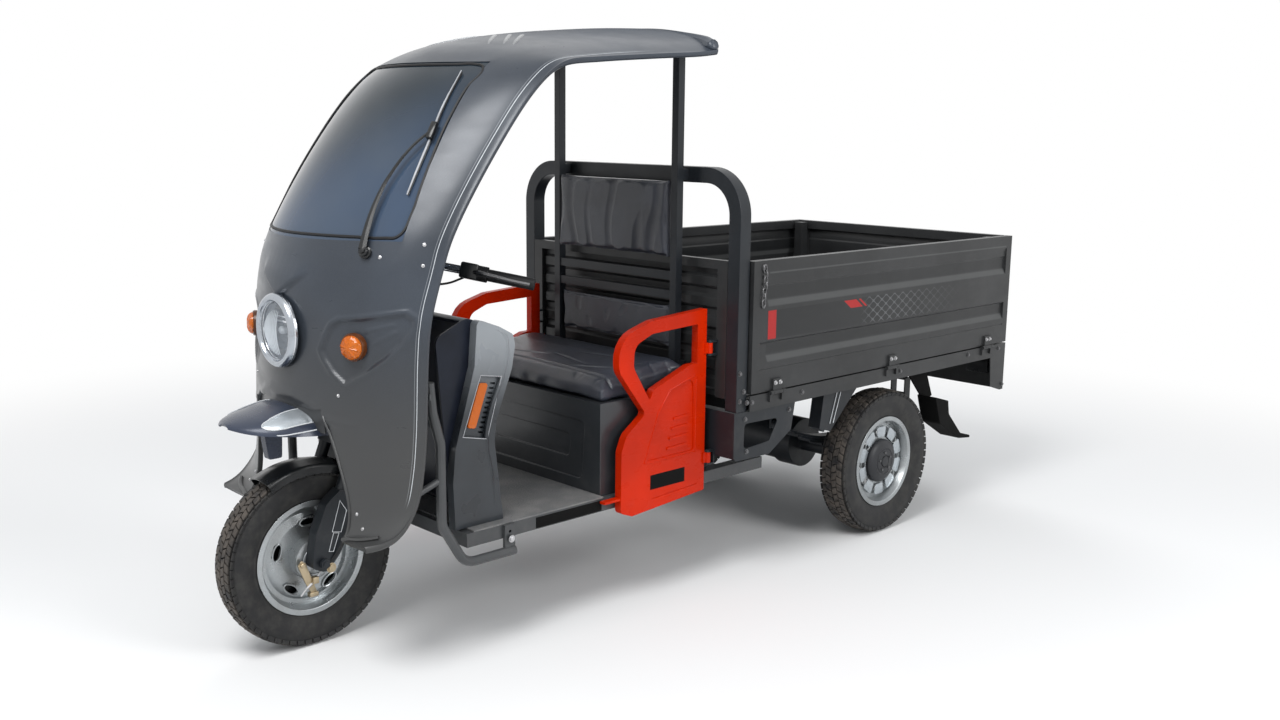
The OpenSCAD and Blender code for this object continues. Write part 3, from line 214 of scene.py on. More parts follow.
def addWorld():
    world = bpy.data.worlds.new("softbox")
    bpy.context.scene.world = world
    world.use_nodes = True
    g = Graph(world)
    light = g.add("ShaderNodeBackground", None, {"Color": (0.94, 0.97, 1, 1), "Strength": 0.55})
    white = g.add("ShaderNodeBackground", None, {"Color": (1, 1, 1, 1), "Strength": 1.0})
    mixed = g.add("ShaderNodeMixShader", None, {0: g.plainRays(), 1: light, 2: white})
    g.add("ShaderNodeOutputWorld", None, {"Surface": mixed})


bpy.context.scene.view_settings.view_transform = "Standard"
bpy.ops.object.select_all(action="DESELECT")
addCamera()
addLamps()
addWorld()
addFloor()
print("camera, lamps and floor are in place")


# finishes

def makePaint(name, colour, metal=0.0, rough=0.35, coat=0.3, flake=0.0, peel=0.15, dust=0.0, shine=0.4,
              dustColour=(0.2, 0.19, 0.18), marks=None, matt=None):
    material, g = newMaterial(name)
    p = g.place()
    cloudy = g.noise(p, 3.2, 3.0)
    speck = g.noise(p, 900.0, 1.0)
    dark, light = (tuple(c * f for c in colour) for f in (0.82, 1.18))
    base = g.blend(cloudy.rise(0.3, 0.7), dark, light)
    if flake:
        base = g.blend(speck.rise(0.52, 0.7) * flake, base, tuple(min(1, c * 2.6 + 0.03) for c in colour))
    if dust:
        x, y, z = g.axes(p)
        low = z.rise(0.75, 0.25)
        patches = g.noise(p, 14.0, 5.0, 0.62)
        base = g.blend(patches.rise(0.45, 0.75) * (0.35 + 0.65 * low) * dust, base, dustColour)
    if marks:
        base = marks(g, p, base)
    smear = g.noise(g.stretched(p, (1.0, 1.0, 3.0)), 7.0, 4.0, 0.6)
    finish = smear.rise(0.25, 0.8) * 0.12 + (rough - 0.06)
    waves = g.noise(p, 55.0, 2.0)
    if matt:  # weathered between these two heights
        x, y, z = g.axes(p)
        top = z.rise(*matt)
        finish, coat = finish + top * 0.5, (top * -coat) + coat
    surface(g, Base_Color=base, Roughness=finish, Metallic=metal, Coat_Weight=coat, Coat_Roughness=0.2,
            Specular_IOR_Level=shine, Normal=g.bump(waves, peel, 0.0004))
    return material


def lipMarks(g, p, base):  # plainer grey low down, and a thin double line beside the rolled rear edge
    x, y, z = g.axes(p)
    base = g.blend(z.rise(1.05, 0.55) * 0.9, base, (0.053, 0.053, 0.052))
    away = g.attribute("fromLip")
    line = away.band(0.0185, 0.0200, 0.0006) + away.band(0.0255, 0.0266, 0.0006) * 0.3
    return g.blend(line * z.rise(0.47, 0.52) * y.rise(-0.30, -0.50), base, (0.62, 0.65, 0.68))


gateSide = {  # lengths along y and heights, some with the softness of the edge
    # the lit ledges and shaded hollows carry painted highlight and painted shade
    "panel": (0.068, 1.512), "ledges": [(0.727, 0.747, 0.003), (0.907, 0.927, 0.003), (1.013, 1.018, 0.002)],
    "hollows": [(0.752, 0.784, 0.004), (0.931, 0.970, 0.004)],
    "bandHeight": (0.800, 0.893), "bandLength": (0.062, 1.42), "bar": (0.066, 0.106),
    "slashes": [(0.492, 0.560, 0.002), (0.575, 0.586, 0.001)], "slashHeight": (0.862, 0.890), "lean": 1.4,
    "mesh": (0.60, 1.20), "meshAlong": 62.0, "meshUp": 95.0,
}


def gateMarks(g, p, base):  # painted highlight on the pressed ledges and painted shade in the hollows between them, then the middle panel's bands: red bar, slash and fading mesh
    x, y, z = g.axes(p)
    panel = y.band(*gateSide["panel"], 0.004)
    # painted highlight: the ledges lighter, where the pressed steel faces the light
    base = g.blend(sum(z.band(*ledge) for ledge in gateSide["ledges"]) * panel * 0.6, base, (0.085, 0.088, 0.088))
    # painted shade: the hollows darker, where shade falls in the pressing
    hollows = sum(z.band(*hollow) for hollow in gateSide["hollows"])
    base = g.blend(hollows * panel * 0.6, base, (0.010, 0.011, 0.012))
    outward = (x * g.axes(g.facing())[0]).rise(0.1, 0.2)  # the gate's outer side only
    inside = z.band(*gateSide["bandHeight"], 0.002) * y.band(*gateSide["bandLength"], 0.004) * outward
    ground = g.blend(inside * y.rise(1.30, 0.10) * 0.9, base, (0.012, 0.013, 0.014))
    bar = y.band(*gateSide["bar"], 0.002) * inside
    lean = y + (z - 0.87) * gateSide["lean"]
    slash = sum(lean.band(*part) for part in gateSide["slashes"]) * z.band(*gateSide["slashHeight"], 0.0015) * outward
    along, up = y * gateSide["meshAlong"], z * gateSide["meshUp"]
    mesh = ((along + up).math("SINE") * (along - up).math("SINE")).math("ABSOLUTE").rise(0.20, 0.06)
    mesh = mesh * inside * y.band(*gateSide["mesh"], 0.05) * y.rise(1.25, 0.62)
    ground = g.blend(mesh * 0.7, ground, (0.13, 0.135, 0.14))
    return g.blend((bar + slash).math("MINIMUM", 1.0), ground, (0.36, 0.012, 0.012))


def makePlastic(name, colour, rough=0.5, grain=0.25, coat=0.0, shine=0.35, high=None, span=None):
    material, g = newMaterial(name)
    p = g.place()
    cloudy = g.noise(p, 9.0, 3.0)
    base = g.blend(cloudy.rise(0.3, 0.72), tuple(c * 0.8 for c in colour), tuple(c * 1.22 for c in colour))
    if high:  # a painted highlight: lighter towards its top, where the glossy moulding catches the light
        x, y, z = g.axes(p)
        base = g.blend(z.rise(*span), base, high)
    pores = g.noise(p, 420.0, 3.0, 0.6)
    finish = cloudy.rise(0.2, 0.8) * 0.14 + (rough - 0.07)
    surface(g, Base_Color=base, Roughness=finish, Coat_Weight=coat, Coat_Roughness=0.2, Specular_IOR_Level=shine,
            Normal=g.bump(pores, grain, 0.0003))
    return material


def makeMetal(name, colour, rough=0.25, brushed=0.2, tarnish=0.2):
    material, g = newMaterial(name)
    p = g.place()
    spots = g.noise(p, 30.0, 5.0, 0.65)
    base = g.blend(spots.rise(0.5, 0.8) * tarnish, colour, tuple(c * 0.45 for c in colour))
    lines = g.noise(g.stretched(p, (1.0, 1.0, 14.0)), 160.0, 2.0)
    surface(g, Base_Color=base, Metallic=1.0, Roughness=spots * 0.22 + rough, Normal=g.bump(lines, brushed, 0.0002))
    return material


def makeTyreRubber():
    material, g = newMaterial("tyreRubber")
    p = g.place()
    worn = g.noise(p, 24.0, 5.0, 0.62)
    fine = g.noise(p, 700.0, 2.0)
    base = g.blend(worn.rise(0.35, 0.75), (0.012, 0.012, 0.013), (0.034, 0.033, 0.031))
    base = g.blend(g.attribute("dusty") * worn.rise(0.3, 0.65) * 0.8, base, (0.105, 0.088, 0.074))
    surface(g, Base_Color=base, Roughness=worn * 0.25 + 0.50, Specular_IOR_Level=0.35,
            Normal=g.bump(fine, 0.25, 0.0004))
    return material


def makeVinyl():
    material, g = newMaterial("seatVinyl")
    p = g.place()
    cloudy = g.noise(p, 6.0, 3.0)
    base = g.blend(cloudy.rise(0.3, 0.7), (0.017, 0.020, 0.030), (0.036, 0.042, 0.060))
    cells = g.add("ShaderNodeTexVoronoi", {"feature": "DISTANCE_TO_EDGE"}, {"Vector": p, "Scale": 520.0})
    creases = g.noise(g.stretched(p, (1.0, 1.6, 1.0)), 26.0, 4.0, 0.6)
    height = cells.rise(0.0, 0.12) * 0.35 + creases
    surface(g, Base_Color=base, Roughness=creases * 0.20 + 0.24, Coat_Weight=0.3, Coat_Roughness=0.25,
            Normal=g.bump(height, 0.5, 0.0022))
    return material


def makeGlass():
    material, g = newMaterial("tintedGlass")
    x, y, z = g.axes(g.place())
    film = g.noise(g.place(), 2.4, 3.0)
    # dark towards the top, and a painted bluish reflection of the surroundings lower down and to one side
    tintAndReflection = g.blend((z + x * -0.5).rise(1.18, 1.55), (0.045, 0.072, 0.120), (0.012, 0.020, 0.028))
    tintAndReflection = g.blend(film.rise(0.45, 0.75) * 0.35, tintAndReflection, (0.085, 0.10, 0.115))
    surface(g, Base_Color=tintAndReflection, Roughness=0.05, Alpha=0.93, Specular_IOR_Level=0.35)
    return material


def makeClear(name, colour, solid, rough=0.08, glow=0.0):
    material, g = newMaterial(name)
    dust = g.noise(g.place(), 40.0, 4.0)
    extra = {"Emission_Color": (*colour, 1.0), "Emission_Strength": glow} if glow else {}
    surface(g, Base_Color=g.blend(dust * 0.3, colour, tuple(0.6 * c for c in colour)), Roughness=dust * 0.06 + rough,
            Alpha=(dust * 0.12 + solid).math("MINIMUM", 1.0), IOR=1.45, Coat_Weight=0.1, Coat_Roughness=0.04, **extra)
    return material


def makeMat():
    material, g = newMaterial("floorMat")
    p = g.place()
    cells = g.add("ShaderNodeTexVoronoi", {"feature": "DISTANCE_TO_EDGE"}, {"Vector": p, "Scale": 90.0})
    dirt = g.noise(p, 12.0, 5.0, 0.65)
    base = g.blend(dirt.rise(0.35, 0.7), (0.125, 0.127, 0.130), (0.190, 0.187, 0.183))
    surface(g, Base_Color=base, Roughness=dirt * 0.2 + 0.42, Normal=g.bump(cells.rise(0.03, 0.12), 0.6, 0.0015))
    return material


bedLook = {"colour": (0.023, 0.024, 0.025), "rough": 0.42, "coat": 0.08, "peel": 0.2, "dust": 0.08, "shine": 0.32}
finishes = {
    "shell_paint": makePaint("shellPaint", (0.035, 0.043, 0.056), metal=0.1, rough=0.33, coat=0.20, flake=0.2,
                             dust=0.04, shine=0.34, marks=lipMarks, matt=(1.70, 1.79)),
    "beak_paint": makePaint("beakPaint", (0.030, 0.038, 0.060), metal=0.1, rough=0.30, coat=0.12, flake=0.15,
                            dust=0.04, shine=0.3),
    "guard_paint": makePaint("guardPaint", (0.54, 0.018, 0.000), rough=0.30, coat=0.06, dust=0.02, shine=0.12,
                             dustColour=(0.13, 0.03, 0.02)),
    "frame_paint": makePaint("framePaint", (0.014, 0.017, 0.021), rough=0.42, coat=0.08, peel=0.2, dust=0.08,
                             shine=0.3),
    "sill_paint": makePaint("sillPaint", (0.052, 0.055, 0.058), rough=0.34, coat=0.2, peel=0.2, dust=0.10),
    "bed_paint": makePaint("bedPaint", **bedLook),
    "wheel_paint": makePaint("wheelPaint", (0.34, 0.36, 0.37), metal=0.8, rough=0.30, coat=0.2, flake=0.2, dust=0.3),
    "console_plastic": makePlastic("consolePlastic", (0.009, 0.012, 0.021), rough=0.34, coat=0.05, shine=0.2),
    # the trims' lighter top is a painted highlight
    "trim_plastic": makePlastic("trimPlastic", (0.022, 0.026, 0.031), rough=0.30, grain=0.12, coat=0.35,
                                high=(0.27, 0.29, 0.31), span=(0.66, 0.92)),
    "black_plastic": makePlastic("blackPlastic", (0.008, 0.009, 0.010), rough=0.28, grain=0.12, coat=0.2),
    "vinyl": makeVinyl(),
    "windscreen_glass": makeGlass(),
    "lens": makeClear("lampLens", (0.62, 0.67, 0.72), 0.10),
    "chrome_trim": makeMetal("chromeTrim", (0.72, 0.74, 0.77), rough=0.06, brushed=0.03, tarnish=0.15),
    "amber_lens": makeClear("amberLens", (0.62, 0.13, 0.004), 0.72, rough=0.10, glow=0.03),
    "red_lens": makeClear("redLens", (0.22, 0.006, 0.005), 0.95, rough=0.10),
    "rubber": makePlastic("softRubber", (0.010, 0.010, 0.011), rough=0.55, grain=0.35),
    "tyre": makeTyreRubber(),
    "floor_mat": makeMat(),
    "battery_case": makePlastic("batteryCase", (0.03, 0.03, 0.032), rough=0.55),
}
gatePaint = makePaint("gatePaint", marks=gateMarks, **bedLook)
steel = makeMetal("zincSteel", (0.55, 0.55, 0.56), rough=0.28, brushed=0.3, tarnish=0.5)
brass = makeMetal("brassPlate", (0.46, 0.38, 0.26), rough=0.32, brushed=0.3, tarnish=0.5)
silverPlastic = makePlastic("silverPlastic", (0.42, 0.43, 0.45), rough=0.35, grain=0.08)
silverPaint = makePaint("silverPaint", (0.40, 0.44, 0.47), metal=0.5, rough=0.22, coat=0.5, flake=0.2)
darkSteel = makeMetal("darkSteel", (0.16, 0.16, 0.165), rough=0.35, brushed=0.3, tarnish=0.4)
# the ribs' paint is lighter than the shell's: a painted highlight along them
ribSilver = makePaint("ribSilver", (0.16, 0.17, 0.18), metal=0.2, rough=0.3, coat=0.4, flake=0.2)
lineWhite = makePlastic("lineWhite", (0.62, 0.64, 0.66), rough=0.45, grain=0.05)
boxPaint = makePaint("boxPaint", (0.026, 0.029, 0.033), rough=0.34, coat=0.3, peel=0.25, dust=0.08)
flapRubber = makePlastic("flapRubber", (0.003, 0.003, 0.003), rough=0.75, grain=0.3, shine=0.12)
hubDark = makePlastic("hubDark", (0.020, 0.021, 0.024), rough=0.4, grain=0.2)
bulbWhite = makePlastic("bulbWhite", (0.62, 0.66, 0.70), rough=0.2, grain=0.0)
bowlChrome = makeMetal("bowlChrome", (0.13, 0.145, 0.17), rough=0.22, brushed=0.05, tarnish=0.3)
ringChrome = makeMetal("ringChrome", (0.44, 0.47, 0.51), rough=0.10, brushed=0.05, tarnish=0.5)
amberDark = makePlastic("amberDark", (0.08, 0.022, 0.004), rough=0.3, grain=0.05)
amberCore = makePlastic("amberCore", (0.95, 0.42, 0.03), rough=0.2, grain=0.05)

for node, part in frame["nodes"].items():
    for slot in part.material_slots:
        slot.material = finishes[slot.material.name.split(".")[0]]
print("finishes are on")


# hands: selecting, shaping and finishing a piece

def only(piece):
    if bpy.context.object and bpy.context.object.mode != "OBJECT":
        bpy.ops.object.mode_set(mode="OBJECT")
    bpy.ops.object.select_all(action="DESELECT")
    piece.select_set(True)
    bpy.context.view_layer.objects.active = piece


def openUp(piece):  # edit mode with everything selected
    only(piece)
    bpy.ops.object.mode_set(mode="EDIT")
    bpy.ops.mesh.select_all(action="SELECT")


def close():
    bpy.ops.object.mode_set(mode="OBJECT")


def baked(piece, matrix=None):  # its place goes into its mesh
    only(piece)
    if matrix is not None:
        piece.matrix_world = matrix
    bpy.ops.object.transform_apply(location=True, rotation=True, scale=True)
    return piece


def pick(test, kind="faces"):  # in edit mode: selects the faces, edges or verts that pass the test
    bpy.ops.mesh.select_mode(type={"verts": "VERT", "edges": "EDGE", "faces": "FACE"}[kind])
    bpy.ops.mesh.select_all(action="DESELECT")
    mesh = bmesh.from_edit_mesh(bpy.context.edit_object.data)
    for item in getattr(mesh, kind):
        item.select_set(bool(test(item)))
    mesh.select_flush_mode()
    bmesh.update_edit_mesh(bpy.context.edit_object.data)


def apply(piece, kind, **settings):
    only(piece)
    modifier = piece.modifiers.new(kind.title(), kind)
    for key, value in settings.items():
        setattr(modifier, key, value)
    bpy.ops.object.modifier_apply(modifier=modifier.name)


def settle(piece, name, body, slotName, material=None, stands=(), smooth=35):
    openUp(piece)
    bpy.ops.mesh.remove_doubles(threshold=1e-6)
    bpy.ops.mesh.normals_make_consistent(inside=False)
    close()
    bpy.ops.object.transform_apply(location=True, rotation=True, scale=True)
    if smooth:
        bpy.ops.object.shade_smooth_by_angle(angle=math.radians(smooth))
    piece.name = piece.data.name = name
    piece.data.materials.clear()
    piece.data.materials.append(material or finishes[slotName])
    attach(piece, body)
    if stands:
        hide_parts(*stands)
    return piece


def joined(pieces):
    only(pieces[0])
    for piece in pieces[1:]:
        piece.select_set(True)
    bpy.ops.object.join()
    return bpy.context.object


def linked(name, mesh, matrix=None):
    piece = bpy.data.objects.new(name, mesh)
    bpy.context.scene.collection.objects.link(piece)
    if matrix is not None:
        piece.matrix_world = matrix
    return piece


def copied(pattern, places):  # the pattern at each (place, outward direction), as one piece
    twins = []
    for at, out in places:
        twins.append(linked(pattern.name + "Copy", pattern.data.copy(), pose(at, out)))
    bpy.data.objects.remove(pattern)
    return joined(twins)


def turned(profile, sides=48, closed=False):  # a shape spun about Z from (radius, height) steps
    bpy.ops.object.select_all(action="DESELECT")
    bpy.ops.mesh.primitive_circle_add(vertices=sides, radius=profile[0][0], location=(0, 0, 0))
    piece = bpy.context.object
    openUp(piece)
    bpy.ops.transform.translate(value=(0, 0, profile[0][1]))
    steps = profile[1:] + ([profile[0]] if closed else [])
    radius, height = profile[0]
    for r, h in steps:
        bpy.ops.mesh.extrude_edges_move(TRANSFORM_OT_translate={"value": (0, 0, h - height)})
        if r > 1e-5:
            bpy.ops.transform.resize(value=(r / radius, r / radius, 1), center_override=(0, 0, h))
        else:
            bpy.ops.mesh.merge(type="CENTER")
        radius, height = max(r, 1e-5), h
    bpy.ops.mesh.select_all(action="SELECT")
    if closed:
        bpy.ops.mesh.remove_doubles(threshold=1e-5)
    else:
        bpy.ops.mesh.fill_holes(sides=0)
    bpy.ops.mesh.normals_make_consistent(inside=False)
    close()
    return piece


def aimed(piece, at, out):
    return baked(piece, pose(at, out))


def block(low, high, bevel, segments=2):  # a box between two corners with rounded edges
    bpy.ops.object.select_all(action="DESELECT")
    middle = [(a + b) / 2 for a, b in zip(low, high)]
    bpy.ops.mesh.primitive_cube_add(size=1, location=middle, scale=[b - a for a, b in zip(low, high)])
    piece = baked(bpy.context.object)
    openUp(piece)
    bpy.ops.mesh.bevel(offset=bevel, segments=segments, affect="EDGES")
    close()
    return piece


def plate(outline, thick, bevel=0.0):  # a flat outline in (x, y) made thick along Z
    bpy.ops.object.select_all(action="DESELECT")
    bpy.ops.mesh.primitive_circle_add(vertices=len(outline), radius=1, fill_type="NGON", location=(0, 0, 0))
    piece = bpy.context.object
    for vertex, spot in zip(piece.data.vertices, outline):
        vertex.co = (spot[0], spot[1], 0)
    openUp(piece)
    bpy.ops.mesh.extrude_region_move(TRANSFORM_OT_translate={"value": (0, 0, thick)})
    bpy.ops.mesh.select_all(action="SELECT")
    bpy.ops.mesh.normals_make_consistent(inside=False)
    close()
    if bevel:
        apply(piece, "BEVEL", width=bevel, segments=2, limit_method="ANGLE", angle_limit=math.radians(50))
    return piece


def strand(points, radius, closed=False, sides=8, straight=False, sizes=None):  # a smooth tube through points
    curve = bpy.data.curves.new("strand", "CURVE")
    curve.dimensions = "3D"
    curve.bevel_depth = radius
    curve.bevel_resolution = max(0, sides // 4 - 1)
    curve.resolution_u = 1 if straight else 6
    curve.use_fill_caps = not closed
    line = curve.splines.new("BEZIER")
    line.bezier_points.add(len(points) - 1)
    for knot, spot in zip(line.bezier_points, points):
        knot.co = spot
        knot.handle_left_type = knot.handle_right_type = "VECTOR" if straight else "AUTO"
    if sizes:
        for knot, share in zip(line.bezier_points, sizes):
            knot.radius = share
    line.use_cyclic_u = closed
    piece = linked("strand", curve)
    only(piece)
    bpy.ops.object.convert(target="MESH")
    return bpy.context.object


def copyOf(node, suffix="Made"):  # left in edit mode
    piece = linked(node + suffix, frame["nodes"][node].data.copy())
    openUp(piece)
    bpy.ops.mesh.customdata_custom_splitnormals_clear()
    bpy.ops.mesh.remove_doubles(threshold=1e-5)
    return piece


def carry(node, width, material=None):  # a CAD node's copy with its sharp edges rounded, as pressed metal has them
    piece = copyOf(node)
    bpy.ops.mesh.dissolve_limited(angle_limit=math.radians(0.6))
    close()
    apply(piece, "BEVEL", width=width, segments=2, limit_method="ANGLE", angle_limit=math.radians(28),
          use_clamp_overlap=True)
    bpy.ops.object.shade_smooth_by_angle(angle=math.radians(35))
    apply(piece, "WEIGHTED_NORMAL", keep_sharp=True)
    piece.data.materials.clear()
    piece.data.materials.append(material or finishes[slotOf[node]])
    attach(piece, nodeBody[node])
    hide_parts(node)
    return piece


def smoothed(node):  # a CAD node's copy with its facets smoothed out and its corners kept
    piece = copyOf(node)
    bpy.ops.mesh.tris_convert_to_quads(face_threshold=math.radians(70), shape_threshold=math.radians(110))
    bpy.ops.mesh.normals_make_consistent(inside=False)
    pick(lambda e: len(e.link_faces) == 2 and e.calc_face_angle(0) > math.radians(50), "edges")
    bpy.ops.transform.edge_crease(value=1)
    close()
    apply(piece, "SUBSURF", levels=2, render_levels=2)
    bpy.ops.object.shade_smooth_by_angle(angle=math.radians(50))
    return piece


# cut, bent and welded metal, and moulded plastic: the CAD shapes with their edges rounded

rounding = {
    "chassis_frame": 0.0015, "floor_board": 0.001, "leg_guards": 0.001, "console": 0.003, "console_trims": 0.0022,
    "side_reflectors": 0.002, "seat_box": 0.0025, "hoop": 0.003, "roof_posts": 0.002, "bed_floor": 0.001,
    "bed_frame": 0.0016, "bed_front_wall": 0.0014, "side_brackets": 0.0012, "leaf_springs": 0.0012,
    "splash_plates": 0.0012, "mudflaps": 0.002, "tail_lamps": 0.003, "brake_pedal": 0.002, "fork": 0.0025,
    "handlebar": 0.001, "grips": 0.002, "front_mudguard": 0.0008, "front_rim": 0.001, "rear_rim_left": 0.001,
    "rear_rim_right": 0.001, "left_guard": 0.004, "right_guard": 0.004, "left_gate": 0.0018, "right_gate": 0.0018,
    "tailgate": 0.0018, "headlamp": 0.0008, "rear_axle": 0.002, "drive_motor": 0.003,
}
roofRail = {"from": 1.63, "lift": 0.052}
special = {"left_gate": gatePaint, "right_gate": gatePaint, "leg_guards": finishes["sill_paint"],
           "chassis_frame": finishes["sill_paint"], "mudflaps": flapRubber, "seat_box": boxPaint}
made = {node: carry(node, width, material=special.get(node)) for node, width in rounding.items()}
openUp(made["roof_posts"])  # the posts' top rail is lifted to the roof's underside
pick(lambda v: v.co.z > roofRail["from"], "verts")
bpy.ops.transform.translate(value=(0, 0, roofRail["lift"]))
close()
print("edges are rounded on", len(made), "nodes")


# the cab's shell, windscreen and beak, smooth all over

def onSide(curve, u):  # a point on a smooth curve through rows of numbers
    k = len(curve) - 1
    i = min(k - 1, max(0, int(u)))
    t = u - i
    p = [curve[min(k, max(0, j))] for j in (i - 1, i, i + 1, i + 2)]
    return [0.5 * (2 * b + (c - a) * t + (2 * a - 5 * b + 4 * c - d) * t * t + (3 * b - a - 3 * c + d) * t ** 3)
            for a, b, c, d in zip(*p)]


shell = {
    "rearEdge": [  # half width, y and z of the rolled rear edge from the hem up to the roof's end
        (0.392, -1.3425, 0.388), (0.424, -1.2745, 0.402), (0.43, -1.2145, 0.47), (0.43, -1.1895, 0.56),
        (0.43, -1.1785, 0.65), (0.43, -1.1735, 0.73), (0.43, -1.1675, 0.866), (0.43, -1.1545, 0.973),
        (0.43, -1.1185, 1.085), (0.43, -1.0875, 1.172), (0.43, -1.0175, 1.29), (0.43, -0.9175, 1.43),
        (0.43, -0.8145, 1.556), (0.43, -0.7095, 1.639), (0.43, -0.5965, 1.656), (0.43, -0.443, 1.67),
        (0.43, -0.263, 1.684), (0.43, -0.153, 1.692), (0.43, -0.078, 1.702)],
    "pod": [(0.162, 0.876), (0.182, 0.918), (0.200, 0.948), (0.226, 0.962), (0.289, 0.970), (0.350, 0.981),
            (0.388, 0.988), (0.406, 0.972), (0.408, 0.953), (0.386, 0.905), (0.351, 0.864), (0.302, 0.824),
            (0.243, 0.789), (0.204, 0.818), (0.176, 0.852)],
    "podDepth": 0.008, "podRim": 0.0035,
    "ridges": [[(0.300, 0.937), (0.362, 0.955)], [(0.304, 0.896), (0.367, 0.935)]], "ridge": 0.003,
    "swoosh": [(0.000, 0.742), (0.060, 0.742), (0.105, 0.732), (0.150, 0.712), (0.185, 0.692), (0.222, 0.683),
               (0.275, 0.681)],
    "swooshLift": 0.006,
    "crestLow": 1.000, "crestSlope": 0.62, "crestTop": 1.118, "crestHalf": 0.125, "crest": 0.013,
}


def lineGap(x, z, line):  # how far from a line of straight stretches
    gap = np.full(len(x), 9.0)
    for (ax, az), (bx, bz) in zip(line, line[1:]):
        dx, dz = bx - ax, bz - az
        t = np.clip(((x - ax) * dx + (z - az) * dz) / (dx * dx + dz * dz), 0, 1)
        gap = np.minimum(gap, np.hypot(x - ax - t * dx, z - az - t * dz))
    return gap


def outlineGap(x, z, outline):  # how far inside (positive) or outside a closed outline
    inside = np.zeros(len(x), bool)
    ring = outline + outline[:1]
    for (ax, az), (bx, bz) in zip(ring, ring[1:]):
        inside ^= ((az > z) != (bz > z)) & (x < ax + (bx - ax) * (z - az) / ((bz - az) or 1e-9))
    gap = lineGap(x, z, ring)
    return np.where(inside, gap, -gap)


def hump(value, half):
    return np.exp(-(value / half) ** 2)


def step(value, low, high):
    t = np.clip((value - low) / (high - low), 0, 1)
    return t * t * (3 - 2 * t)


def spotsOf(piece):
    spots = np.empty(len(piece.data.vertices) * 3)
    piece.data.vertices.foreach_get("co", spots)
    return spots.reshape(-1, 3)


def tag(piece, name, values):  # a number at each point, for the materials
    piece.data.attributes.new(name, "FLOAT", "POINT").data.foreach_set("value", values.astype(np.float32))


def makeShell():
    piece = smoothed("cab_shell")
    openUp(piece)
    pick(lambda f: f.calc_center_median().y < -1.15 and 0.64 < f.calc_center_median().z < 1.13 and
         f.normal.y < -0.1 and abs(f.calc_center_median().x) < 0.425)
    bpy.ops.mesh.subdivide(number_cuts=2)
    close()
    mesh, spots = piece.data, spotsOf(piece)
    outward = np.array([v.normal[:] for v in mesh.vertices])
    x, y, z = np.abs(spots[:, 0]), spots[:, 1], spots[:, 2]
    front = (y < -1.15) & (outward[:, 1] < -0.05)
    gap = outlineGap(x, z, shell["pod"])
    lift = -shell["podDepth"] * step(gap, 0.0, 0.011)
    lift += shell["podRim"] * hump(gap + 0.004, 0.0055)
    for ridge in shell["ridges"]:
        lift += shell["ridge"] * hump(lineGap(x, z, ridge), 0.005)
    lift += shell["swooshLift"] * hump(lineGap(x, z, shell["swoosh"]), 0.014) * step(x, 0.31, 0.20)
    over = z - shell["crestLow"] - shell["crestSlope"] * x
    crest = step(over, 0, 0.012) * step(z, shell["crestTop"], 1.045) * step(x, shell["crestHalf"], 0.08)
    lift += shell["crest"] * crest
    spots += outward * (lift * front)[:, None]
    mesh.vertices.foreach_set("co", spots.ravel())
    edge = np.array([onSide(shell["rearEdge"], u / 4) for u in range(4 * (len(shell["rearEdge"]) - 1) + 1)])
    away = np.full(len(x), 9.0)
    for k in range(len(edge) - 1):
        a, d = edge[k], edge[k + 1] - edge[k]
        p = np.stack([x, spots[:, 1], spots[:, 2]], 1) - a
        t = np.clip(p @ d / (d @ d), 0, 1)
        away = np.minimum(away, np.linalg.norm(p - t[:, None] * d, axis=1))
    tag(piece, "fromLip", away)
    mesh.update()
    return settle(piece, "cabShell", nodeBody["cab_shell"], "shell_paint", stands=["cab_shell"], smooth=50)


cabShell = makeShell()
windscreen = settle(smoothed("windscreen"), "windscreenPane", nodeBody["windscreen"], "windscreen_glass",
                    stands=["windscreen"], smooth=50)
beak = settle(smoothed("beak_fender"), "beakFender", nodeBody["beak_fender"], "shell_paint",
              material=finishes["beak_paint"], stands=["beak_fender"], smooth=50)


def treeOf(piece):
    return BVHTree.FromPolygons([v.co[:] for v in piece.data.vertices], [p.vertices[:] for p in piece.data.polygons])


shellTree, glassTree = treeOf(cabShell), treeOf(windscreen)


def onFront(x, z, trees=(shellTree, glassTree)):  # the outer face seen from ahead, and the way out of it
    for tree in trees:
        spot, out, _, _ = tree.ray_cast(Vector((x, -2.5, z)), Vector((0, 1, 0)))
        if spot:
            return spot, out
    return trees[0].find_nearest(Vector((x, -1.25, z)))[:2]


def onGlass(x, z):
    return onFront(x, z, (glassTree, shellTree))


print("shell, windscreen and beak are smooth")


# tyres: a turned carcass with blocks of tread

tyres = {
    "front_tyre": {"at": (0, -1.2965, 0.2575), "radius": 0.2575, "width": 0.092, "rows": 62},
    "rear_tyre_left": {"at": (0.483, 0.7705, 0.265), "radius": 0.265, "width": 0.106, "rows": 58},
    "rear_tyre_right": {"at": (-0.483, 0.7705, 0.265), "radius": 0.265, "width": 0.106, "rows": 58},
}
rimRadius = 0.1675
treadDepth = 0.006


def aroundTyre(one, count):
    bpy.ops.mesh.spin(steps=count, dupli=True, angle=2 * math.pi, center=(0, 0, 0), axis=(1, 0, 0))
    close()
    return one


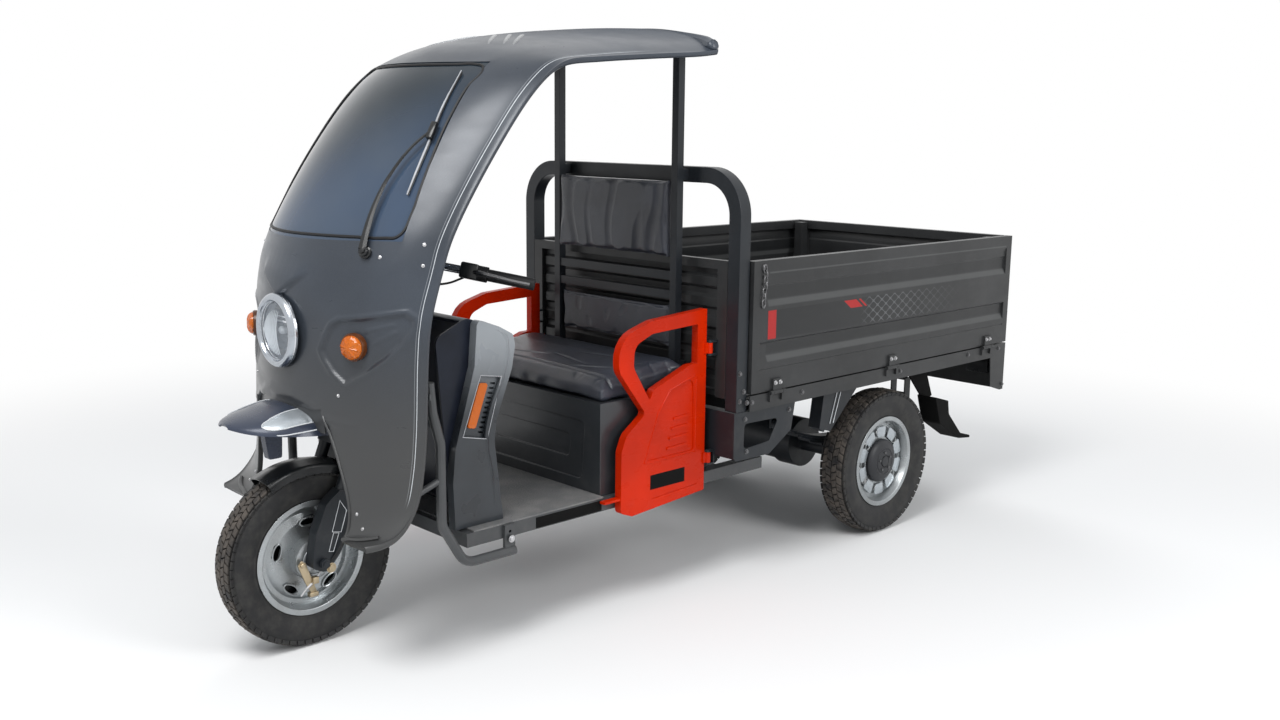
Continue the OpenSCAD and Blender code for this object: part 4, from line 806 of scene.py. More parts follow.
def makeTyre(node, size):
    r, w = size["radius"] - treadDepth, size["width"]
    profile = [(rimRadius - 0.012, 0.33 * w), (rimRadius + 0.002, 0.37 * w), (rimRadius + 0.006, 0.40 * w),
               (rimRadius + 0.010, 0.40 * w), (rimRadius + 0.014, 0.42 * w), ((r + rimRadius) / 2 - 0.008, 0.485 * w),
               ((r + rimRadius) / 2 + 0.006, 0.495 * w), (r - 0.022, 0.485 * w), (r - 0.016, 0.48 * w),
               (r - 0.013, 0.465 * w), (r - 0.004, 0.36 * w), (r, 0.24 * w)]
    profile = profile + [(a, -b) for a, b in reversed(profile)]
    carcass = turned(profile, sides=96, closed=True)
    pitch = 2 * math.pi * size["radius"] / size["rows"]
    blocks = []
    rows = ((-0.31, 0.10, 0.35), (-0.11, 0.105, -0.35), (0.11, 0.105, 0.35), (0.31, 0.10, -0.35))  # place, half, skew
    for k, (across, half, skew) in enumerate(rows):
        outer = abs(across) > 0.2
        one = block((-half * w * 0.88, -0.42 * pitch, -0.004),
                    (half * w * 0.88, 0.42 * pitch, treadDepth - (0.0018 if outer else 0.0)), 0.0009, 1)
        openUp(one)
        for side in (-1, 1):  # each end leans, so the grooves zig and zag
            pick(lambda f: f.calc_center_median().x * side > half * w * 0.6)
            sink = -0.0018 if outer and side * across > 0 else 0
            bpy.ops.transform.translate(value=(0, side * skew * pitch * 0.35, sink))
        bpy.ops.mesh.select_all(action="SELECT")
        bpy.ops.transform.translate(value=(across * w, (k % 2) * pitch * 0.5, r))
        blocks.append(aroundTyre(one, size["rows"]))
    for side in (-1, 1):  # shoulder lugs that run down the sidewall
        one = block((-0.0035, -0.41 * pitch, -0.012), (0.0012, 0.41 * pitch, 0.009), 0.0009, 1)
        openUp(one)
        bpy.ops.transform.rotate(value=-side * 0.42, orient_axis="Y", center_override=(0, 0, 0))
        bpy.ops.transform.translate(value=(side * 0.462 * w, 0, r - 0.010))
        blocks.append(aroundTyre(one, size["rows"]))
    baked(carcass, Matrix.Rotation(math.pi / 2, 4, "Y"))
    whole = joined([carcass] + blocks)
    spots = spotsOf(whole)
    tag(whole, "dusty", step(np.hypot(spots[:, 1], spots[:, 2]), r - 0.002, r + 0.003))
    whole.matrix_world = Matrix.Translation(Vector(size["at"]))
    return settle(whole, node + "Tread", nodeBody[node], "tyre", stands=[node], smooth=32)


for node, size in tyres.items():
    makeTyre(node, size)
print("tyres have their tread")


# cushions: each is blown up a little by cloth simulation, then seamed

pads = {
    "seat_cushion": {"inset": (0.009, 0.008, 0.006), "voxel": 0.0065, "cap": 0.016, "fill": 0.75},
    "backrest_cushion": {"inset": (0.004, 0.006, 0.004), "voxel": 0.005, "cap": 0.009, "fill": 0.55},
    "lumbar_pad": {"inset": (0.004, 0.0045, 0.004), "voxel": 0.004, "cap": 0.006, "fill": 0.6},
}


def makePad(node, size):
    low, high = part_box(node)
    piece = copyOf(node, "Pad")
    shrink = [1 - 2 * inset / (b - a) for inset, a, b in zip(size["inset"], low, high)]
    bpy.ops.mesh.select_all(action="SELECT")
    bpy.ops.transform.resize(value=shrink, center_override=(low + high) / 2)
    close()
    apply(piece, "REMESH", mode="VOXEL", voxel_size=size["voxel"])
    before = spotsOf(piece)
    cloth = piece.modifiers.new("Cloth", "CLOTH")
    cloth.settings.use_pressure = True
    cloth.settings.uniform_pressure_force = 4
    cloth.settings.effector_weights.gravity = 0
    cloth.settings.quality = 5
    bpy.context.scene.frame_start, bpy.context.scene.frame_end = 1, 20
    for k in range(1, 21):
        bpy.context.scene.frame_set(k)
    only(piece)
    bpy.ops.object.modifier_apply(modifier="Cloth")
    bpy.context.scene.frame_set(1)
    after = spotsOf(piece)
    move = after - before
    far = np.linalg.norm(move, axis=1)
    move *= np.minimum(1, size["cap"] / np.maximum(far, 1e-9))[:, None]
    piece.data.vertices.foreach_set("co", (before + move).ravel())
    apply(piece, "SUBSURF", levels=1, render_levels=1)
    shape = padDetail[node](spotsOf(piece), low, high)
    shape = np.clip(shape, np.array(low) + 0.0004, np.array(high) - 0.0004)
    piece.data.vertices.foreach_set("co", shape.ravel())
    piece.data.update()
    settle(piece, node + "Pad", nodeBody[node], "vinyl", stands=[node], smooth=60)
    return piece


def seatDetail(spots, low, high):  # a welted seam behind the front roll, sunk corners and slack folds
    x, y, z = spots.T
    top = step(z, low.z + 0.03, low.z + 0.055)
    front = y - low.y
    seam = hump(front - 0.074 - 0.006 * np.cos(x * 9), 0.0045)
    z -= 0.008 * seam * top
    sides = step(np.abs(x), 0.25, 0.392)
    z -= 0.012 * sides ** 3 * top
    pulls = sum(hump(np.hypot(x - a, front - b), 0.035) for a, b in ((0.33, 0.13), (-0.33, 0.13), (0.0, 0.30)))
    z -= 0.006 * pulls * top
    for a, b, turn, long, deep in seatFolds:
        u = (x - a) * math.cos(turn) + (front - b) * math.sin(turn)
        v = -(x - a) * math.sin(turn) + (front - b) * math.cos(turn)
        z -= deep * np.exp(-(v / 0.006) ** 2 - (u / long) ** 4) * top
    y += 0.004 * np.sin(x * 46 + 3 * np.sin(x * 11)) * step(z, high.z - 0.03, low.z + 0.02) * step(front, 0.05, 0.0)
    return np.stack([x, y, z], 1)


seatFolds = [(0.22, 0.12, 0.35, 0.07, 0.003), (0.08, 0.15, -0.2, 0.09, 0.0026), (-0.12, 0.13, 0.2, 0.08, 0.003),
             (0.30, 0.20, 0.9, 0.05, 0.0026), (0.15, 0.24, 0.15, 0.10, 0.0022), (-0.26, 0.20, -0.5, 0.07, 0.0026),
             (0.34, 0.06, 1.1, 0.03, 0.003), (-0.02, 0.32, 0.05, 0.12, 0.002), (0.26, 0.33, -0.3, 0.08, 0.0022)]


def backDetail(spots, low, high):  # drapes of loose cover, gathered at the lower edge
    x, y, z = spots.T
    front = step(y, (low.y + high.y) / 2, low.y + 0.004)
    share = (z - low.z) / (high.z - low.z)
    folds = np.sin(x * 44 + 2.2 * np.sin(x * 13 + 1.0) + 0.9 * np.sin(share * 5 + x * 7))
    folds += 0.5 * np.sin(x * 97 + 1.7 * np.sin(share * 4 + x * 5))
    hem = hump(share - 0.05, 0.02) + hump(share - 0.955, 0.018)
    y += front * (0.0042 * folds * (0.55 + 0.45 * (1 - share)) + 0.004 * hem + 0.002)
    return np.stack([x, y, z], 1)


def lumbarDetail(spots, low, high):
    x, y, z = spots.T
    front = step(y, (low.y + high.y) / 2, low.y + 0.003)
    share = (z - low.z) / (high.z - low.z)
    folds = np.sin(x * 38 + 2.4 * np.sin(share * 4 + x * 9)) + 0.6 * np.sin(x * 83 - share * 5 + 1.2)
    y += front * (0.0022 * folds + 0.003 * hump(share - 0.10, 0.03) + 0.003 * hump(share - 0.90, 0.03))
    return np.stack([x, y, z], 1)


padDetail = {"seat_cushion": seatDetail, "backrest_cushion": backDetail, "lumbar_pad": lumbarDetail}
for node, size in pads.items():
    makePad(node, size)
print("cushions are filled")


# headlamp and turn signals

headlamp = {
    "bowl": [(0.0790, 0.004), (0.0745, -0.003), (0.062, -0.013), (0.044, -0.021), (0.020, -0.026), (0.006, -0.027),
             (0.006, -0.029), (0.034, -0.027), (0.050, -0.0125), (0.078, 0.001)],
    "ring": [(0.0792, -0.001), (0.1033, -0.001), (0.1033, 0.0055), (0.1018, 0.0110), (0.0975, 0.0165), (0.0915, 0.0198),
             (0.0868, 0.0196), (0.0838, 0.0172), (0.0826, 0.0125), (0.0792, 0.0105)],
    "lens": [(0.0004, 0.0006), (0.0812, 0.0006), (0.0812, 0.0130), (0.0795, 0.0158), (0.0740, 0.0182), (0.064, 0.0202),
             (0.048, 0.0218), (0.028, 0.0229), (0.010, 0.0234), (0.0004, 0.0235)],
    "bulb": [(0.0004, -0.028), (0.012, -0.028), (0.012, -0.010), (0.009, -0.004), (0.004, -0.001), (0.0004, 0.000)],
}


def makeHeadlamp():
    low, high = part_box("headlamp")
    centre, ahead = Vector((0, high.y, (low.z + high.z) / 2)), Vector((0, -1, 0))
    bowl = aimed(turned(headlamp["bowl"], 64, closed=True), centre, ahead)
    settle(bowl, "lampBowl", "chassis", "chrome_trim", material=bowlChrome)
    flutes = []
    for k in range(-7, 3):
        x = k * 0.0088 - 0.004
        half = math.sqrt(0.066 ** 2 - x * x)
        path = [centre + Vector((x + 0.010 * (t * t - 0.5), -0.0135 + 0.006 * (x * x + (t * half) ** 2) / 0.066 ** 2,
                                 t * half - 0.004)) for t in (-0.95, -0.5, 0, 0.5, 0.9)]
        flutes.append(strand(path, 0.0022, sizes=[0.4, 1, 1, 1, 0.4]))
    settle(joined(flutes), "lampFlutes", "chassis", "lens", material=bulbWhite)
    bulb = aimed(turned(headlamp["bulb"], 24), centre, ahead)
    settle(bulb, "lampBulb", "chassis", "lens", material=bulbWhite)
    brow = block((-0.058, high.y - 0.002, centre.z + 0.024), (0.058, high.y + 0.010, centre.z + 0.031), 0.002)
    lashes = block((-0.048, high.y - 0.002, centre.z + 0.038), (0.048, high.y + 0.008, centre.z + 0.043), 0.002)
    settle(joined([brow, lashes]), "lampBrow", "chassis", "chrome_trim")
    lens = aimed(turned(headlamp["lens"], 64), centre, ahead)
    settle(lens, "lampLens", "chassis", "lens", stands=["headlamp_lens"], smooth=50)
    ring = aimed(turned(headlamp["ring"], 72, closed=True), centre, ahead)
    settle(ring, "lampRing", "chassis", "chrome_trim", material=ringChrome, stands=["headlamp"], smooth=50)


signal = {
    "at": (0.268, -1.2804, 0.893), "out": (0.411, -0.911, 0.027),
    "collar": [(0.0365, -0.012), (0.0375, 0.004), (0.0355, 0.0085), (0.0325, 0.0095), (0.0318, 0.004), (0.030, -0.010)],
    "lens": [(0.0004, 0.001), (0.0320, 0.001), (0.0320, 0.012), (0.0300, 0.0175), (0.0240, 0.0225), (0.014, 0.0255),
             (0.005, 0.0263), (0.0004, 0.0264)],
    "star": [(0.0300, 0.0006), (0.020, 0.0040), (0.016, 0.0120), (0.009, 0.0140), (0.004, 0.0200), (0.0004, 0.0210)],
}


def makeSignals():
    collars, lenses, stars = [], [], []
    for side in (1, -1):
        at, out = (Vector((x * side, y, z)) for x, y, z in (signal["at"], signal["out"]))
        collars.append(aimed(turned(signal["collar"], 40, closed=True), at, out))
        lens = turned(signal["lens"], 40)
        openUp(lens)  # facets: a ring of flats pressed into the face
        pick(lambda f: f.normal.z > 0.55 and 0.012 < f.calc_center_median().xy.length < 0.029 and
             int((math.atan2(f.calc_center_median().y, f.calc_center_median().x) + math.pi) / math.pi * 8) % 2 == 0)
        bpy.ops.transform.translate(value=(0, 0, -0.0022))
        close()
        lenses.append(aimed(lens, at, out))
        stars.append(aimed(turned(signal["star"], 12), at, out))
    settle(joined(collars), "signalCollars", "chassis", "chrome_trim", material=amberDark)
    settle(joined(stars), "signalStars", "chassis", "amber_lens", material=amberCore, smooth=0)
    settle(joined(lenses), "signalLenses", "chassis", "amber_lens", stands=["turn_signals"], smooth=24)


# wiper

wiper = {
    "pivot": (0.272, 1.138),
    "boss": [(0.0004, -0.003), (0.017, -0.003), (0.017, 0.008), (0.013, 0.010), (0.013, 0.019), (0.010, 0.022),
             (0.0004, 0.0225)],
    "nut": [(0.0004, 0.0215), (0.0075, 0.0215), (0.0075, 0.026), (0.0004, 0.027)],
    "arm": [(0.268, 1.142, 1.0), (0.258, 1.190, 0.85), (0.249, 1.270, 0.6), (0.250, 1.330, 0.42),
            (0.266, 1.400, 0.36), (0.288, 1.440, 0.36)],
    "armRadius": 0.011, "blade": [(0.312, 1.283), (0.304, 1.35), (0.292, 1.43), (0.275, 1.50), (0.244, 1.606)],
}


def makeWiper():
    spot, out = onFront(*wiper["pivot"])
    boss = aimed(turned(wiper["boss"], 28), spot, out)
    collar = aimed(turned(wiper["nut"], 6), spot, out)
    path, sizes = [], []
    for x, z, share in wiper["arm"]:
        at, way = onGlass(x, z) if z > 1.2 else onFront(x, z)
        path.append(at + way * (0.017 if z < 1.2 else 0.019))
        sizes.append(share)
    arm = strand(path, wiper["armRadius"], sizes=sizes)
    rubber = [at + way * 0.005 for at, way in (onGlass(x, z) for x, z in wiper["blade"])]
    blade = strand(rubber, 0.0038, sizes=[0.6, 1, 1, 1, 0.6])
    at, way = onGlass(0.289, 1.444)
    clip = block((-0.009, -0.026, -0.004), (0.009, 0.026, 0.012), 0.003)
    along = (onGlass(0.275, 1.50)[0] - onGlass(0.304, 1.35)[0]).normalized()
    side = along.cross(way).normalized()
    onBlade = Matrix((
        (side.x, along.x, way.x, at.x), (side.y, along.y, way.y, at.y), (side.z, along.z, way.z, at.z), (0, 0, 0, 1)))
    baked(clip, onBlade @ Matrix.Translation((0, 0, 0.010)))
    settle(joined([boss, collar, arm, blade, clip]), "wiperArm", "chassis", "black_plastic", stands=["wiper"])
    spine = strand([at + way * 0.0105 for at, way in (onGlass(x, z) for x, z in wiper["blade"])], 0.0026,
                   sizes=[0.7, 1, 1, 1, 0.5])
    settle(spine, "wiperSpine", "chassis", "chrome_trim", material=silverPlastic)


# fixings: each head is modelled once and copied

def roundHead(radius=0.0050):
    steps = [(1, -0.002), (1, 0.0008), (0.72, 0.0012), (0.70, 0.0030), (0.5, 0.0040), (0.26, 0.0042), (0.22, 0.0022)]
    return turned([(0.0004, -0.002)] + [(radius * share, z) for share, z in steps] + [(0.0004, 0.0022)], 12)


def hexHead(radius=0.008):
    washer = turned([(0.0004, -0.001), (radius * 1.35, -0.001), (radius * 1.35, 0.0012), (0.0004, 0.0014)], 16)
    head = turned([(0.0004, 0.001), (radius, 0.001), (radius, 0.0052), (radius * 0.88, 0.0062), (0.0004, 0.0064)], 6)
    return joined([washer, head])


fixings = {  # shell screws as (x, z), the others as (y, z)
    "shell": [(0.394, 1.162), (0.402, 1.109), (0.309, 1.128), (0.224, 0.759), (0.283, 0.444), (0.316, 0.412)],
    "hinges": [0.114, 0.759, 1.404], "hingeX": 0.551, "hingeZ": 0.655, "pair": 0.012,
    "bed": [  # distance from the middle, and the heads there
        (0.543, [(-0.003, 0.603), (-0.028, 0.606), (0.251, 0.602), (0.818, 0.600), (1.276, 0.606), (1.500, 0.606)]),
        (0.530, [(-0.048, 0.610), (-0.030, 0.640), (-0.05, 0.70)]),
        (0.543, [(1.544, 0.454)]),
        (0.531, [(-0.02, 0.548), (0.20, 0.548), (-0.01, 0.44)])],
    "tail": (0.353, 1.564, 0.655), "legGuard": (0.417, -0.879, 0.315),
    "lowHead": [(0.0004, -0.001), (0.0065, -0.001), (0.0065, 0.0012), (0.0045, 0.0022), (0.0004, 0.0024)],
}


def makeFixings():
    spots = [onFront(x * side, z) for x, z in fixings["shell"] for side in (1, -1)]
    settle(copied(roundHead(), spots), "shellScrews", "chassis", "chrome_trim", material=steel)
    pair = (-fixings["pair"], fixings["pair"])
    for side, gate in ((1, "left_gate"), (-1, "right_gate")):
        spots = [((side * fixings["hingeX"], y + d, fixings["hingeZ"]), (side, 0, 0))
                 for y in fixings["hinges"] for d in pair]
        settle(copied(hexHead(0.0055), spots), gate + "Bolts", gate, "frame_paint", material=steel)
    spots = [((side * x, y, z), (side, 0, 0)) for x, heads in fixings["bed"] for side in (1, -1) for y, z in heads]
    settle(copied(hexHead(0.0065), spots), "bedBolts", "chassis", "frame_paint", material=darkSteel)
    half, y, z = fixings["tail"]
    spots = [((h + d, y, z), (0, 1, 0)) for h in (-half, half) for d in pair]
    settle(copied(turned(fixings["lowHead"], 12), spots), "tailgateBolts", "tailgate", "frame_paint", material=steel)
    x, y, z = fixings["legGuard"]
    spots = [((side * x, y, z), (side, 0, 0)) for side in (1, -1)]
    settle(copied(hexHead(0.008), spots), "legGuardBolts", "chassis", "frame_paint", material=steel)


# the shell's hem, arch bead, window seal, roof ribs and the roll along the roof's rear edge

trimLines = {
    "roofEnd": 0.015,
    "hem": [(0.274, 0.379), (0.300, 0.384), (0.335, 0.389), (0.365, 0.396), (0.385, 0.402)],
    "arch": [(0.276, 0.372), (0.268, 0.40), (0.257, 0.45), (0.245, 0.50), (0.232, 0.545), (0.202, 0.64),
             (0.180, 0.700)],
    "ribs": [((0.181, -0.768), (0.018, -0.608)), ((0.216, -0.739), (0.060, -0.585)),
             ((0.244, -0.729), (0.097, -0.564))],
    "seal": [(0.333, 1.182), (0.342, 1.24), (0.333, 1.30), (0.322, 1.37), (0.310, 1.44), (0.302, 1.50), (0.293, 1.565),
             (0.284, 1.622)],
    "sealLow": (0.334, 1.176), "sealTop": (0.280, 1.631),
    "roll": [-0.431, -0.422] + [k * 0.0525 for k in range(-7, 8)] + [0.422, 0.431],
}


def onTop(x, y):
    return shellTree.ray_cast(Vector((x, y, 2.5)), Vector((0, 0, -1)))[:2]


def makeTrimLines():
    beads, ribs, roll = [], [], []
    for side in (1, -1):
        for key, radius in (("hem", 0.0065), ("arch", 0.0035)):
            spots = [onFront(side * x, z) for x, z in trimLines[key]]
            beads.append(strand([at + out * radius * 0.3 for at, out in spots], radius))
        for (ax, ay), (bx, by) in trimLines["ribs"]:
            path = [onTop(side * (ax + (bx - ax) * t), ay + (by - ay) * t) for t in (0, 0.25, 0.5, 0.75, 1)]
            ribs.append(strand([at - out * 0.0035 for at, out in path], 0.0075, sizes=[0.3, 1, 1.05, 1, 0.3]))
    settle(joined(beads), "shellBeads", "chassis", "shell_paint")
    (lowHalf, lowZ), (topHalf, topZ) = trimLines["sealLow"], trimLines["sealTop"]
    rim = [(x / 10 * lowHalf, lowZ) for x in range(-9, 10, 2)] + trimLines["seal"]
    rim += [(x / 10 * topHalf, topZ) for x in range(9, -10, -2)] + [(-x, z) for x, z in reversed(trimLines["seal"])]
    seal = strand([at + out * 0.001 for at, out in (onGlass(x, z) for x, z in rim)], 0.0042, closed=True)
    settle(seal, "windowSeal", "chassis", "black_plastic", material=finishes["rubber"])
    # the roof ribs carry a painted highlight, lighter than the shell
    settle(joined(ribs), "roofRibs", "chassis", "shell_paint", material=ribSilver)
    for x in trimLines["roll"]:
        y, spot = trimLines["roofEnd"], None
        while not spot and y > -0.12:  # forwards until there is roof below
            y -= 0.003
            spot, _ = onTop(max(-0.418, min(0.418, x)), y)
        roll.append(Vector((x, spot.y - 0.016, spot.z - 0.021 + 0.028 * (abs(x) / 0.43) ** 4)))
    roll = strand(roll, 0.022, sizes=[0.5, 0.92] + [1.0] * 15 + [0.92, 0.5], sides=16)
    settle(roll, "roofRoll", "chassis", "shell_paint")


# steering: fork covers' lines, brake arm, cable, levers and switches

def tipped(x, y, z, degrees, atY, atZ):
    c, s = math.cos(math.radians(degrees)), math.sin(math.radians(degrees))
    return Vector((x, atY + y * c + z * s, atZ - y * s + z * c))


def steer(x, y, z):  # a place given about the steering axis, in metres from the axle's height
    return tipped(x, y, z, steering["rake"], -1.2615, tyres["front_tyre"]["radius"])


def bar(x, y, z=0.0):  # a place given in the handlebar's plane
    return tipped(x, y, z, steering["barTilt"], -0.9312, 1.075)


steering = {
    "rake": 22, "barTilt": 15,
    "cover": [[(-0.041, 0.167), (-0.010, 0.144), (-0.006, 0.082), (-0.034, 0.077)],
              [(-0.029, 0.075), (-0.012, 0.078), (-0.011, 0.024), (-0.025, 0.022)]],
    "brakeArm": [(-1.362, 0.258), (-1.350, 0.270), (-1.338, 0.262), (-1.322, 0.214), (-1.306, 0.172), (-1.320, 0.163),
                 (-1.342, 0.205)],
    "rod": [(0.073, -1.356, 0.168), (0.073, -1.335, 0.188), (0.073, -1.311, 0.206), (0.073, -1.290, 0.228)],
    "cable": [(0.080, -1.290, 0.228), (0.098, -1.268, 0.262), (0.108, -1.235, 0.310), (0.106, -1.205, 0.37),
              (0.090, -1.185, 0.44), (0.062, -1.165, 0.52)],
    "lever": [(0.232, 0.072, 0.0), (0.258, 0.066, 0.0), (0.292, 0.094, -0.002), (0.330, 0.140, -0.004),
              (0.358, 0.176, -0.004)],
    "wire": [(0.205, 0.06, -0.02), (0.16, 0.04, -0.045), (0.09, 0.02, -0.055), (0.02, 0.01, -0.040)],
}


def makeSteeringBits():
    rubber = finishes["rubber"]
    lines = [strand([steer(side * 0.0965, y, z) for y, z in outline], 0.0011, closed=True, straight=True)
             for side in (1, -1) for outline in steering["cover"]]
    settle(joined(lines), "forkLines", "steering", "chrome_trim", material=lineWhite)
    arm = plate(steering["brakeArm"], 0.005, 0.001)
    baked(arm, Matrix(((0, 0, 1, 0.070), (1, 0, 0, 0), (0, 1, 0, 0), (0, 0, 0, 1))))
    clevis = block((0.064, -1.320, 0.196), (0.082, -1.302, 0.216), 0.002)
    nut = aimed(hexHead(0.011), (0.0965, -1.271, 0.238), (1, 0, 0))
    pinNut = aimed(hexHead(0.007), (0.075, -1.349, 0.257), (1, 0, 0))
    foot = block((0.060, -1.330, 0.158), (0.078, -1.302, 0.172), 0.003)
    settle(joined([arm, clevis, nut, pinNut, foot]), "brakeArm", "steering", "chrome_trim", material=brass)
    adjuster = strand([(0.073, -1.336, 0.187), (0.073, -1.322, 0.197)], 0.0048, straight=True)
    settle(joined([strand(steering["rod"], 0.0028), adjuster]), "brakeRod", "steering", "chrome_trim", material=steel)
    settle(strand(steering["cable"], 0.0038), "brakeCable", "steering", "black_plastic", material=rubber)
    levers, cases, wires = [], [], []
    for side in (1, -1):
        path = [bar(side * x, y, z) for x, y, z in steering["lever"]]
        levers.append(strand(path, 0.0062, sizes=[0.9, 1.1, 1.0, 0.8, 0.9]))
        wires.append(strand([bar(side * x, y, z) for x, y, z in steering["wire"]], 0.0035))
        turn = Matrix.Rotation(math.radians(-15), 4, "X") @ Matrix.Rotation(side * math.radians(-45), 4, "Z")
        case = block((-0.021, -0.026, -0.022), (0.021, 0.026, 0.024), 0.006, 3)
        cases.append(baked(case, Matrix.Translation(bar(side * 0.212, 0.070)) @ turn))
        bracket = block((-0.014, -0.034, -0.009), (0.014, 0.010, 0.010), 0.004)
        cases.append(baked(bracket, Matrix.Translation(bar(side * 0.232, 0.082)) @ turn))
    settle(joined(levers), "brakeLevers", "steering", "chrome_trim", material=darkSteel)
    settle(joined(cases), "switchCases", "steering", "black_plastic")
    clamp = block((-0.030, -0.948, 1.052), (0.030, -0.900, 1.096), 0.006, 3)
    settle(clamp, "barClamp", "steering", "black_plastic")
    settle(joined(wires), "barWires", "steering", "black_plastic", material=rubber)


# wheels: vent lips, hub plates, caps and valves

wheels = {  # the wheel's tyre, its outer side, how far out the disc's face is, and the vents in it
    "front_rim": {"tyre": "front_tyre", "side": 1, "face": 0.0200, "vents": 5},
    "rear_rim_left": {"tyre": "rear_tyre_left", "side": 1, "face": 0.022, "vents": 8},
    "rear_rim_right": {"tyre": "rear_tyre_right", "side": -1, "face": 0.022, "vents": 8},
}
hubs = {
    "plate": [(0.0004, 0), (0.0595, 0), (0.0595, 0.0020), (0.0560, 0.0036), (0.0420, 0.0036), (0.0400, 0.0022),
              (0.0380, 0.0022), (0.0360, 0.0042), (0.0200, 0.0046), (0.0004, 0.0046)],
    "drumGuard": [(0.063, 0), (0.136, 0), (0.136, 0.002), (0.063, 0.002)],
    "cap": [(0.0004, 0), (0.0800, 0), (0.0810, 0.004), (0.0800, 0.009), (0.0740, 0.0150), (0.0640, 0.0200),
            (0.0500, 0.0230), (0.0480, 0.0215), (0.0440, 0.0215), (0.0420, 0.0240), (0.0240, 0.0255),
            (0.0225, 0.0230), (0.0200, 0.0230), (0.0190, 0.0265), (0.0004, 0.0275)],
    "dish": [(-0.020, 0.088), (0.020, 0.088), (0.0285, 0.120), (0.021, 0.1275), (-0.021, 0.1275), (-0.0285, 0.120)],
    "nutRing": 0.033, "nuts": 5, "dishes": 10,
}


def makeLips(node, wheel, at):
    side, lips = wheel["side"], []
    for k in range(wheel["vents"]):
        turn = Matrix.Rotation(k * 2 * math.pi / wheel["vents"], 4, "X")
        face = side * (wheel["face"] + 0.0006)
        ring = [at + turn @ Vector((face, 0.0255 * math.cos(a), 0.1035 + 0.0125 * math.sin(a)))
                for a in (j * 2 * math.pi / 16 for j in range(16))]
        lips.append(strand(ring, 0.0026, closed=True))
    valve = [at + Vector((side * 0.028, 0.02, 0.148)), at + Vector((side * 0.040, 0.02, 0.138))]
    lips.append(strand(valve, 0.004, straight=True))
    settle(joined(lips), node + "Lips", nodeBody[node], "wheel_paint")


def makeFrontHub(body, at):
    plates = [aimed(turned(hubs["plate"], 48), at + Vector((s * 0.051, 0, 0)), (s, 0, 0)) for s in (1, -1)]
    settle(joined(plates), "frontHubPlates", body, "wheel_paint")
    guard = aimed(turned(hubs["drumGuard"], 48, closed=True), at + Vector((-0.008, 0, 0)), (1, 0, 0))
    settle(guard, "frontDrumGuard", body, "black_plastic")


def makeRearHub(node, side, face, body, at):
    cap = aimed(turned(hubs["cap"], 48), at + Vector((side * 0.0215, 0, 0)), (side, 0, 0))
    settle(cap, node + "Cap", body, "black_plastic", material=hubDark)
    ring = hubs["nutRing"]
    spots = [(at + Vector((side * 0.0445, ring * math.cos(a), ring * math.sin(a))), (side, 0, 0))
             for a in (k * 2 * math.pi / hubs["nuts"] + 0.4 for k in range(hubs["nuts"]))]
    settle(copied(hexHead(0.0048), spots), node + "Nuts", body, "chrome_trim", material=darkSteel)
    upright = Matrix(((0, 0, side, 0), (side, 0, 0, 0), (0, 1, 0, 0), (0, 0, 0, 1)))
    outward = Matrix.Translation(at + Vector((side * face, 0, 0)))
    dishes = [baked(plate(hubs["dish"], 0.0036, 0.0016),
                    outward @ Matrix.Rotation(k * 2 * math.pi / hubs["dishes"], 4, "X") @ upright)
              for k in range(hubs["dishes"])]  # pressed panels between the cap and the rim
    settle(joined(dishes), node + "Dishes", body, "wheel_paint", material=silverPaint)


def makeWheelBits():
    for node, wheel in wheels.items():
        at, body = Vector(tyres[wheel["tyre"]]["at"]), nodeBody[node]
        makeLips(node, wheel, at)
        if node == "front_rim":
            makeFrontHub(body, at)
        else:
            makeRearHub(node, wheel["side"], wheel["face"], body, at)


# bed: a latch chain at each gate's front corner, and the tail lamps' frames and cases

def makeLatches():
    for side, gate in ((1, "left_gate"), (-1, "right_gate")):
        bpy.ops.object.select_all(action="DESELECT")
        bpy.ops.mesh.primitive_torus_add(major_radius=0.0085, minor_radius=0.0022, major_segments=16, minor_segments=6)
        link = bpy.context.object
        openUp(link)
        bpy.ops.transform.resize(value=(1.5, 0.85, 1))
        close()
        hang = Matrix.Rotation(math.radians(90), 4, "Y")
        tips = (Matrix.Identity(4), Matrix.Rotation(math.radians(90), 4, "X"))  # every second link lies across
        places = [(side * 0.5475, 0.040 + 0.004 * math.sin(k * 0.9), 1.030 - k * 0.0185) for k in range(7)]
        twins = [linked("link", link.data.copy(), Matrix.Translation(at) @ hang @ tips[k % 2])
                 for k, at in enumerate(places)]
        bpy.data.objects.remove(link)
        hook = block((side * 0.5435 - 0.0015, 0.030, 1.026), (side * 0.5435 + 0.0025, 0.050, 1.044), 0.0012)
        settle(joined(twins + [hook]), gate + "Latch", gate, "frame_paint", material=darkSteel)


tailLamp = {"wide": 0.092, "edge": 0.004, "bars": (0.029, 0.032), "case": (0.386, 0.484)}


def makeTailBits():
    low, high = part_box("tail_lamps")
    wide, edge, (barLow, barHigh) = tailLamp["wide"], tailLamp["edge"], tailLamp["bars"]
    back, front = high.y - 0.003, high.y + 0.0015
    frames, cases = [], []
    for left in (high.x - wide, low.x):
        for x0, x1, z0, z1 in ((0, edge, low.z, high.z), (wide - edge, wide, low.z, high.z),
                               (0, wide, low.z, low.z + edge), (0, wide, high.z - edge, high.z),
                               (barLow, barHigh, low.z, high.z)):
            frames.append(block((left + x0, back, z0), (left + x1, front, z1), 0.0008, 1))
    settle(joined(frames), "tailLampFrames", "chassis", "black_plastic")
    for side in (1, -1):
        x0, x1 = sorted(side * x for x in tailLamp["case"])
        cases.append(block((x0, low.y - 0.003, low.z - 0.003), (x1, high.y - 0.0085, high.z + 0.003), 0.003))
    settle(joined(cases), "tailLampCases", "chassis", "black_plastic")


